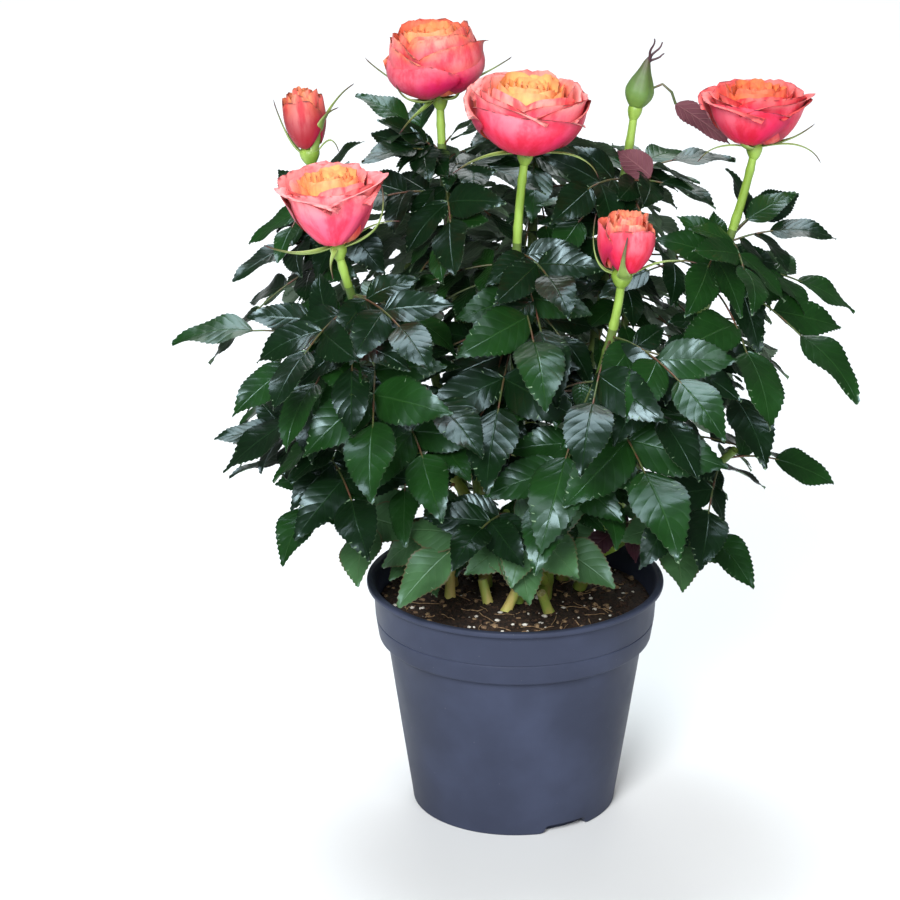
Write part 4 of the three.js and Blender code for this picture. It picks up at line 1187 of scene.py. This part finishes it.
def pot_finish():
    finish = Finish("pot_plastic", 0.42, Specular_IOR_Level=0.1)
    haze = finish.range(finish.noise(28.0, 4.0), 0.35, 0.75)
    colour = finish.mix(haze, linear("34394a"), linear("3e4458"))
    dust = finish.range(finish.noise(900.0), 0.74, 0.82)
    finish.colour(finish.mix(finish.times(dust, 0.35), colour, linear("8d8a8c")))
    finish.put(finish.shader, "Roughness", finish.range(finish.noise(60.0, 3.0), 0.2, 0.8, 0.42, 0.55))
    finish.bump(finish.noise(1500.0), 0.05, 0.5)
    return finish.material


def grain_finish(name, colour, other, roughness=0.9):
    """A grainy, dull surface in two colours."""
    finish = Finish(name, roughness)
    grains = finish.range(finish.noise(700.0, 3.0), 0.35, 0.65)
    finish.colour(finish.mix(grains, linear(colour), linear(other)))
    finish.bump(finish.noise(1400.0, 3.0), 0.4, 0.8)
    return finish.material


# Pot and soil


def pot_piece():
    foot, body, collar, crease, lip = (
        POT[name + "_radius"] for name in ("foot", "body_top", "collar", "crease", "lip")
    )
    collar_up, crease_up, lip_up = (POT[name + "_height"] for name in ("collar", "crease", "lip"))
    wall, floor, top = POT["wall"], POT["floor"], POT["height"]
    neck = crease + LIP_ROOT
    profile = [(0, 0), (FOOT_FLAT, 0)]
    profile += [(foot + out, up) for out, up in FOOT_EDGE]
    profile += [(lerp(foot, body, 0.5), collar_up / 2), (body, collar_up), (collar, collar_up)]
    profile += [(crease + out, crease_up + up) for out, up in CREASE_EDGE]
    profile += [(neck, lip_up), (lip, lip_up), (lip, top), (lip - POT["lip_width"], top)]
    profile += [(neck - wall, lip_up), (crease - wall, crease_up), (collar - wall, collar_up + wall)]
    profile += [(body - wall, collar_up - wall), (foot - wall, floor), (0, floor)]
    grid = lathe_grid(rounded(profile, POT_ROUNDING), POT_SIDES)
    x, y, z = np.moveaxis(grid, 2, 0)
    for turn in (0, math.pi):
        middle = NOTCH["azimuth"] + turn - math.pi / 2
        off = np.abs((np.arctan2(y, x) - middle + math.pi) % (2 * math.pi) - math.pi) * foot
        raised = NOTCH["height"] * smooth((NOTCH["width"] / 2 + 1 - off) / 3)
        lifted = (np.hypot(x, y) > foot - NOTCH["depth"] / 2) & (z < raised)
        grid[..., 2] = np.where(lifted, raised, z)
    piece = Piece()
    piece.add(grid, closed=True)
    piece.made("pot_shell", [pot_finish()], "pot", ["pot"])


def crumb_grids(count, size, inside, level, random):
    """Small lumps strewn on the soil."""
    reach = inside * np.sqrt(random.uniform(0, 0.96, count))
    turn = random.uniform(0, 2 * math.pi, count)
    middle = np.stack([reach * np.cos(turn), reach * np.sin(turn)], axis=1)
    girth = random.uniform(*size, count)[:, None, None]
    shares, rise = CRUMB_PROFILE.T
    angles = round_angles(CRUMB_SIDES)
    ring = np.stack([np.cos(angles), np.sin(angles)], axis=1)
    rough = random.uniform(0.65, 1.25, (count, len(rise), CRUMB_SIDES, 1))
    stretch = random.uniform(0.6, 1.3, (count, 1, 1, 2))
    lump = np.empty((count, len(rise), CRUMB_SIDES, 3))
    flat = girth[..., None] * shares[None, :, None, None] * ring * rough * stretch
    lump[..., :2] = flat + middle[:, None, None]
    lump[..., 2] = level(reach)[:, None, None] + 0.3 * girth + girth * rise[None, :, None] * 0.7
    return lump


def fibre_path(inside, level, random):
    """The path of a short bent fibre on the soil, as far as it lies inside the pot."""
    reach, turn = inside * math.sqrt(random.uniform(0, 0.9)), random.uniform(0, 2 * math.pi)
    start = np.array([reach * math.cos(turn), reach * math.sin(turn), 0])
    way = unit(np.array([*random.normal(0, 1, 2), 0.0]))
    share = np.linspace(-0.5, 0.5, 5)[:, None]
    bend = np.cross(UP, way) * random.normal(0, 2)
    path = start + way * share * random.uniform(4, 13) + bend * share**2
    out = np.hypot(path[:, 0], path[:, 1])
    path[:, 2] = level(out) + 0.9 + random.normal(0, 0.3, len(path))
    return path[out < inside - 1]


def soil_piece(random):
    inside = POT["crease_radius"] - POT["wall"] - GAP

    def level(reach):
        return along([(SOIL["level_radius"], SOIL["top"]), (inside, SOIL["edge_top"])], reach)

    rings = np.linspace(0, 1, SOIL_RINGS) ** 0.8 * inside
    angles = np.linspace(0, 2 * math.pi, SOIL_SIDES, endpoint=False)
    radius, angle = np.meshgrid(rings, angles, indexing="ij")
    x, y = radius * np.cos(angle), radius * np.sin(angle)
    lumps = random.normal(0, 0.45, radius.shape) + 0.7 * np.sin(0.31 * x + 1) * np.cos(0.27 * y)
    lumps[0] = lumps[0].mean()
    piece = Piece()
    piece.add(np.stack([x, y, level(radius) + lumps], axis=2), 0, closed=True, flipped=True)
    for count, size, finish in CRUMBS:
        piece.add(crumb_grids(count, size, inside, level, random), finish, closed=True)
    for _ in range(FIBRES):
        path = fibre_path(inside, level, random)
        if len(path) > 2:
            piece.add(tube_grid(path, random.uniform(0.12, 0.28), 4), 4, closed=True)
    finishes = [
        grain_finish("soil_bed", "1d130d", "3a281c"),
        grain_finish("soil_crumb", "2a1b12", "4b3526"),
        grain_finish("soil_bark", "6b5340", "a08563"),
        grain_finish("perlite", "c9c2b6", "efeae0", roughness=0.8),
        grain_finish("soil_fibre", "7a5f44", "a88a66"),
    ]
    piece.made("soil_bed", finishes, "soil", ["soil"])


# Canes, twigs and leaves


def limb_grid(shoot, start, end, sides):
    """A stretch of a shoot with a slight swelling at each node."""
    length = shoot.length(start, end)
    shares = np.linspace(start, end, max(4, int(length / LIMB_STEP)))
    off = np.abs((shares * length / max(end - start, 1e-6)) % NODE_SPACING - NODE_SPACING / 2)
    swelling = 1 + NODE_SWELLING * np.exp(-((off / NODE_LENGTH) ** 2))
    return tube_grid(shoot.point(shares), shoot.radius(shares) * swelling, sides)


def cane_piece(shoots, random):
    piece = Piece()
    for shoot in shoots:
        finish = 0 if shoot.parent is None else 1
        piece.add(limb_grid(shoot, 0, shoot.enter, LIMB_SIDES["limb"]), finish, closed=True)
        for share in np.arange(PRICKLE_START, shoot.enter, PRICKLE_SPACING):
            turn = random.uniform(0, 2 * math.pi)
            aside = np.array([math.cos(turn), math.sin(turn), -PRICKLE_DROOP])
            foot = shoot.point(share) + aside * shoot.radius(share) * 0.8
            path = [foot + aside * out - UP * drop for out, drop, _ in PRICKLE]
            piece.add(tube_grid(path, [radius for *_, radius in PRICKLE], 6), 2, closed=True)
    for x, y, lean_x, lean_y, length in STUBS:
        foot = np.array([x, y, SOIL["top"] - 1])
        heading = unit(np.array([lean_x, lean_y, 1.0]))
        shares = np.linspace(0, 1, 8)
        path = foot + heading * (shares * (length + 1))[:, None]
        girth = STUB_RADIUS * along(STUB_TAPER, shares)
        piece.add(tube_grid(path, girth, LIMB_SIDES["limb"]), 4, closed=True)
        rim = tube_grid(path[-2:], girth[-2:], LIMB_SIDES["limb"])[-1:]
        centre = np.broadcast_to(path[-1] + heading * CUT_RISE, rim.shape)
        piece.add(np.concatenate([rim, centre]), 3, closed=True)
    nodes = ["stub_%d" % (i + 1) for i in range(len(STUBS))]
    nodes += [("bough_" if shoot.parent else "cane_") + shoot.name for shoot in shoots]
    finishes = [
        stem_finish("cane_bark", "6f8c34", "8a7c42"),
        stem_finish("bough_bark", "84a43e", "a9ab50"),
        stem_finish("prickle", "8a5a3c", "a87a50"),
        grain_finish("cut_wood", "c9c48e", "a09a5e", roughness=0.8),
        stem_finish("stub_bark", "a9bf58", "cdbb6e"),
    ]
    piece.made("canes", finishes, "stem", nodes)


def blade_shape(columns):
    """The shares along and across of a leaflet's points, with teeth in its two rims."""
    rows = 2 * BLADE_TEETH
    upward = np.linspace(0, 1, rows + 1)[:, None] * np.ones(len(columns))
    across = np.ones(rows + 1)[:, None] * columns
    width = along(BLADE_OUTLINE, upward)
    rim = np.abs(across) == 1
    tooth = rim & (np.arange(rows + 1)[:, None] % 2 == 1) & (upward > 0.05) & (upward < 0.97)
    return upward, across * width, across, tooth


def blade_grids(leaflets, columns, bends, lower):
    """Grids for many leaflets at once. Lower ones are their undersides, a blade's thickness below."""
    upward, wide, across, tooth = blade_shape(np.array(columns))
    rows = 2 * BLADE_TEETH
    length = np.array([leaflet.length for leaflet in leaflets])[:, None, None]
    arch, fold, phase, side = (bends[:, i, None, None] for i in range(4))
    along_blade = (upward + tooth * TOOTH_LEAN / rows) * length
    breadth = np.array([leaflet.wide for leaflet in leaflets])[:, None, None]
    half = wide * BLADE_WIDTH * breadth * length / 2
    half = half + np.sign(across) * tooth * TOOTH_DEPTH * length * (1 - 0.5 * upward)
    rise = arch * 4 * upward * (1 - upward) * length
    rise = rise + fold * np.abs(half) * (1 - 0.35 * np.abs(across))
    wave = np.sin(2 * math.pi * (1.6 * upward + phase) + side * across)
    rise = rise + BLADE_WAVE * length * across**2 * wave
    quilt = np.cos(2 * math.pi * (VEINS * upward - VEIN_SLANT * np.abs(across)))
    rise = rise - BLADE_QUILT * length * quilt * np.abs(across) * (1 - np.abs(across)) * 4
    rise = rise - lower * LEAFLET_THICKNESS * length * (1 - 0.6 * across**2)
    grids = np.zeros((*rise.shape, 3))
    for direction, amount in (("forward", along_blade), ("left", half), ("normal", rise)):
        vectors = np.array([getattr(leaflet, direction) for leaflet in leaflets])
        grids += amount[..., None] * vectors[:, None, None]
    return grids + np.array([leaflet.base for leaflet in leaflets])[:, None, None]


def foliage_pieces(masses, random):
    tones = [leaf_finish("leaf_" + name, *map(linear, three), rough) for name, *three, rough in LEAF_TONES]
    unders = [under_finish("under_" + name, *map(linear, colours)) for name, *colours in UNDER_TONES]
    barks = [stem_finish("leaf_stalk", "46542a", "5c3a2c"), stem_finish("twig_bark", "4c6428", "5f7434")]
    columns = [-c for c in BLADE_COLUMNS[:0:-1]] + list(BLADE_COLUMNS)
    for mass in masses:
        shoot = mass.shoot
        blades, twigs = Piece(), Piece()
        twigs.add(limb_grid(shoot, shoot.enter, shoot.leave, LIMB_SIDES["stem"]), 1, closed=True)
        leaflets, tone = [], []
        for leaf in mass.leaves:
            own = [leaf.terminal, *leaf.laterals]
            shade = tone_of(leaf.terminal.base[2], random)
            for leaflet in own:
                leaflet.wide = TONE_WIDTHS[shade]
            leaflets += own
            tone += [shade] * len(own)
            path = leaf.at(np.linspace(0, leaf.start + STALK_OVERLAP, 9))
            girth = lerp(LEAF_STALK_RADIUS, STALK_TIP_RADIUS, np.linspace(0, 1, 9))
            girth[0] *= STALK_FOOT
            twigs.add(tube_grid(path, girth, 5), 0, closed=True)
        for stalk, tip, facing, wide in YOUNG if shoot.name == YOUNG_ON else []:
            way = np.subtract(tip, stalk[-1])
            forward = unit(way)
            normal = square(np.array(facing), forward)
            leaflets.append(Leaflet(np.array(stalk[-1]), forward, normal, np.linalg.norm(way), wide))
            tone.append(YOUNG_TONE)
            twigs.add(tube_grid(stalk, YOUNG_STALK_RADIUS, 6), 0, closed=True)
        ranges = (BLADE_ARCH, BLADE_FOLD, (0, 1), (-2, 2))
        bends = np.stack([random.uniform(*ends, len(leaflets)) for ends in ranges], axis=1)
        tone = np.array(tone)
        blades.add(blade_grids(leaflets, columns, bends, 0), tone, flipped=True)
        under = np.where(tone == YOUNG_TONE, 1, 0) + len(LEAF_TONES)
        blades.add(blade_grids(leaflets, columns, bends, 1), under)
        node = "leaves_" + shoot.name
        blades.made("foliage_" + shoot.name, tones + unders, "leaf", [node])
        twigs.made("twigs_" + shoot.name, barks, "stem", [node])


def tone_of(height, random):
    """The number of a leaf's tone: lower leaves are brighter and duller, and a few of them reddish."""
    draw = random.uniform()
    shares = LOW_TONES if height < LOW_HEIGHT else HIGH_TONES
    return next(tone for share, tone in shares if draw < share)


# Blooms


def placed(grid, place, axis):
    """A grid moved from its own origin to a place and turned so that its +Z lies along an axis."""
    turn = Vector((0, 0, 1)).rotation_difference(Vector(axis)).to_matrix()
    return grid @ np.array(turn).T + place


def petal_grid(bloom, whorl, order, number, random):
    """One petal's upper face, upright at the flower's foot: rows from foot to rim, columns side to side."""
    radius, height = bloom["size"]
    upward = np.linspace(0, 1, PETAL_ROWS)[:, None]
    across = np.linspace(-1, 1, PETAL_COLUMNS)[None]
    varied = {name: random.uniform(*ends) for name, ends in PETAL_VARIES.items()}
    wide = whorl["wide"] * varied["wide"]
    foot = PETAL_FOOT[bloom["kind"]] * radius * lerp(0.3, 1, wide)
    rim = bloom["flare"] * radius * wide
    tall = whorl["tall"] ** bloom["even"] * height * varied["tall"]
    outer = smooth((wide - 0.5) / 0.4)
    rounding = lerp(0.16, 0.2, outer) * np.abs(across) ** lerp(3.5, PETAL_POINT, outer)
    share = upward * (1 - rounding * upward**2)
    side = foot + (rim - foot) * share ** bloom["bulge"]
    side = side + bloom["ball"] * radius * wide * np.sin(math.pi * share)
    spread = math.radians(whorl["span"]) * varied["span"]
    turn = 2 * math.pi * (number + PETAL_TURN * order) / whorl["count"]
    turn += math.radians(bloom["turn"]) + varied["turn"] * (1 - 0.6 * outer)
    angle = turn + spread * across * np.clip(1.2 * upward**0.4, 0, 1) * (1 - 0.12 * upward**6)
    rolled = np.clip((upward - 0.68) / 0.32, 0, 1) ** 2
    curl = whorl["curl"] * bloom["roll"] * varied["curl"]
    for azimuth, reach in bloom["lips"]:
        off = abs((math.degrees(turn) - azimuth + 180) % 360 - 180)
        curl += reach * outer * float(smooth(1.6 - off / LIP_REACH))
    curl = curl * radius
    side = side * (1 + lerp(0.04, 0.08, outer) * across * upward) + curl * rolled * (1 + 0.6 * across**2)
    phases = random.uniform(0, 2 * math.pi, 2)
    wave = np.sin(1.6 * math.pi * across + phases[0]) + 0.3 * np.sin(3.3 * math.pi * across + phases[1])
    wave = whorl["ruffle"] * upward**3 * wave + 0.35 * upward**8 * random.normal(0, 1, PETAL_COLUMNS)
    rise = 0.3 + tall * share - 0.9 * np.abs(curl) * rolled**1.5 + 0.55 * wave
    side = side + 0.8 * wave
    return np.stack([side * np.cos(angle), side * np.sin(angle), rise], axis=2)


def backed(grid, thickness):
    """The other face of a thin sheet, moved off along its own normals."""
    down = np.gradient(grid, axis=0)
    over = np.gradient(grid, axis=1)
    normals = np.cross(down, over)
    sizes = np.linalg.norm(normals, axis=2, keepdims=True)
    rim = np.ones(grid.shape[:2])
    rim[-1] = rim[:, 0] = rim[:, -1] = RIM_THICKNESS
    return grid - normals / np.maximum(sizes, 1e-6) * thickness * rim[..., None]


def sepal_grids(sepal, girth):
    """A long pointed green leaf under the flower, both faces."""
    azimuth, handle, tip, width = sepal
    outward = np.array([math.cos(math.radians(azimuth)), math.sin(math.radians(azimuth)), 0])
    aside = np.array([-outward[1], outward[0], 0])
    start, handle, tip = (outward * out + UP * up for out, up in ((0.85 * girth, -1.4), handle, tip))
    t = np.linspace(0, 1, 18)[:, None]
    path = curve(start, handle, tip, t) + aside * 0.5 * np.sin(7 * t)
    half = along(SEPAL_WIDTHS, t[:, 0]) * width / 2
    across = np.linspace(-1, 1, 7)
    heading = np.gradient(path, axis=0)
    heading /= np.linalg.norm(heading, axis=1, keepdims=True)
    off = np.cross(heading, aside)
    upper = path[:, None] + aside * (across * half[:, None])[..., None]
    upper = upper + off[:, None] * (0.4 * across**2 * half[:, None])[..., None]
    return upper, backed(upper, SEPAL_THICKNESS)


def beak_grids(bloom):
    """The closed bud: a ribbed teardrop, and the long thin tips of its sepals."""
    radius, height = bloom["size"]
    middle = [(out * radius, up * height) for out, up in BUD_PROFILE]
    drop = lathe_grid(rounded([(1, -2), *middle, (0.02, 1.22 * height)], 6), 40)
    angles = np.arctan2(drop[..., 1], drop[..., 0])
    drop[..., :2] *= (0.94 + 0.09 * np.abs(np.cos(2.5 * angles)))[..., None]
    drop[..., 0] += 0.5 * (drop[..., 2] / height) ** 2
    t = np.linspace(0, 1, 14)[:, None]
    tips = []
    for k, (aside, up) in enumerate(BEAK_TIPS):
        start = np.array([0.5, 0.4 * (k - 1), 0.98 * height])
        handle = np.array([1.5 + 0.2 * aside, 0.8 * (k - 1), 0.5 * (height + up)])
        end = np.array([aside, 1.2 * (k - 1), up])
        path = curve(start, handle, end, t) + np.array([0.5, 0, 0]) * np.sin(9 * t + k)
        tips.append(tube_grid(path, lerp(0.75, 0.3, t[:, 0]), 6, 0.5))
    return drop, tips


def bloom_pieces(shoots, random):
    for bloom in BLOOMS:
        name, kind = bloom["on"], bloom["kind"]
        shoot = next(shoot for shoot in shoots if shoot.name == name)
        axis = axis_of(bloom)
        place = shoot.point(1) + axis * HIP_LENGTH
        nodes = [("bloom_" if kind == "open" else "bud_") + name]
        petals, greens = Piece(), Piece()

        def put(piece, grid, finish, **how):
            piece.add(placed(grid, place, axis), finish, **how)

        for order, row in enumerate(WHORLS[kind]):
            whorl = dict(zip(WHORL_KEYS, row))
            for number in range(whorl["count"]):
                grid = petal_grid(bloom, whorl, order, number, random)
                put(petals, grid, whorl["finish"], flipped=True)
                put(petals, backed(grid, PETAL_THICKNESS), len(FACES) + whorl["finish"])
        greens.add(limb_grid(shoot, shoot.leave, 1, LIMB_SIDES["stalk"]), 0, closed=True)
        girth = HIP_GIRTH[kind]
        hip = [(girth * share, height) for share, height in HIP_PROFILE]
        put(greens, lathe_grid(rounded(hip, 2.5), 20), 0, closed=True)
        if kind == "closed":
            drop, tips = beak_grids(bloom)
            put(greens, drop, 2, closed=True)
            for tip in tips:
                put(greens, tip, 3, closed=True)
        for sepal in bloom["sepals"]:
            upper, lower = sepal_grids(sepal, girth)
            put(greens, upper, 1, flipped=True)
            put(greens, lower, 1)
        if kind != "closed":
            petals.made("petals_" + name, petal_finishes(name), "bloom", nodes)
        green = [
            stem_finish("bloom_stalk", "769434", "92b24e"),
            sepal_finish("sepal", "open", "b9c68a"),
            sepal_finish("bud_skin", "closed", "6f8a44"),
            stem_finish("bud_tip", "3c2028", "55323a", roughness=0.5),
        ]
        greens.made("greens_" + name, green, "bud", nodes)


def petal_finishes(name):
    """The finishes of a bloom's petals: four upper faces and then their backs."""
    palette = dict(zip(PALETTE_KEYS, map(linear, PALETTES[name])))
    made = []
    for side, table in (("face", FACES), ("back", BACKS)):
        for number, stops in enumerate(table):
            colours = [(place, palette[key]) for key, place in stops]
            label = "petal_%s_%s_%d" % (name, side, number)
            amount = 0.4 if number == 0 else 1
            made.append(petal_finish(label, colours, palette["burnt"], side, BURNT[number], amount))
    return made


# Floor, light and camera


def stage():
    mesh = bpy.data.meshes.new("floor")
    corners = [(x * FLOOR_REACH, y * FLOOR_REACH, 0) for x, y in ((-1, -1), (1, -1), (1, 1), (-1, 1))]
    mesh.from_pydata(corners, [], [(0, 1, 2, 3)])
    paint = Finish("floor_paint", 0.8)
    paint.colour(linear("e6e6e6"))
    mesh.materials.append(paint.material)
    floor = added("floor", mesh)


def area_light(name, place, target, size, power, colour):
    light = bpy.data.lights.new(name, "AREA")
    light.size = size
    light.energy = power
    light.color = colour
    made = added(name, light)
    made.location = place
    made.rotation_euler = (Vector(target) - Vector(place)).to_track_quat("-Z", "Y").to_euler()


def camera():
    lens = bpy.data.cameras.new("camera")
    lens.sensor_width = SENSOR
    lens.lens = FOCAL_PIXELS * SENSOR / PICTURE
    lens.clip_end = 20
    made = added("camera", lens)
    made.location = Vector(CAMERA_PLACE) * MM
    made.rotation_euler = (math.pi / 2 - CAMERA_TILT, 0, CAMERA_TURN)
    bpy.context.scene.camera = made


def light():
    world = bpy.data.worlds.new("studio")
    world.use_nodes = True
    background = world.node_tree.nodes["Background"]
    background.inputs["Color"].default_value = (1, 1, 1, 1)
    background.inputs["Strength"].default_value = 0.1
    bpy.context.scene.world = world
    for lamp in LIGHTS:
        area_light(*lamp)
    bpy.context.scene.view_settings.view_transform = "Standard"


camera()
light()
stage()
shoots = []
for row in SHOOTS:
    shoots.append(Shoot(row, shoots))
masses = grow_leaves(shoots, seeded_random(SEED))
chance = np.random.default_rng(SEED)
pot_piece()
soil_piece(chance)
cane_piece(shoots, chance)
foliage_pieces(masses, chance)
bloom_pieces(shoots, chance)
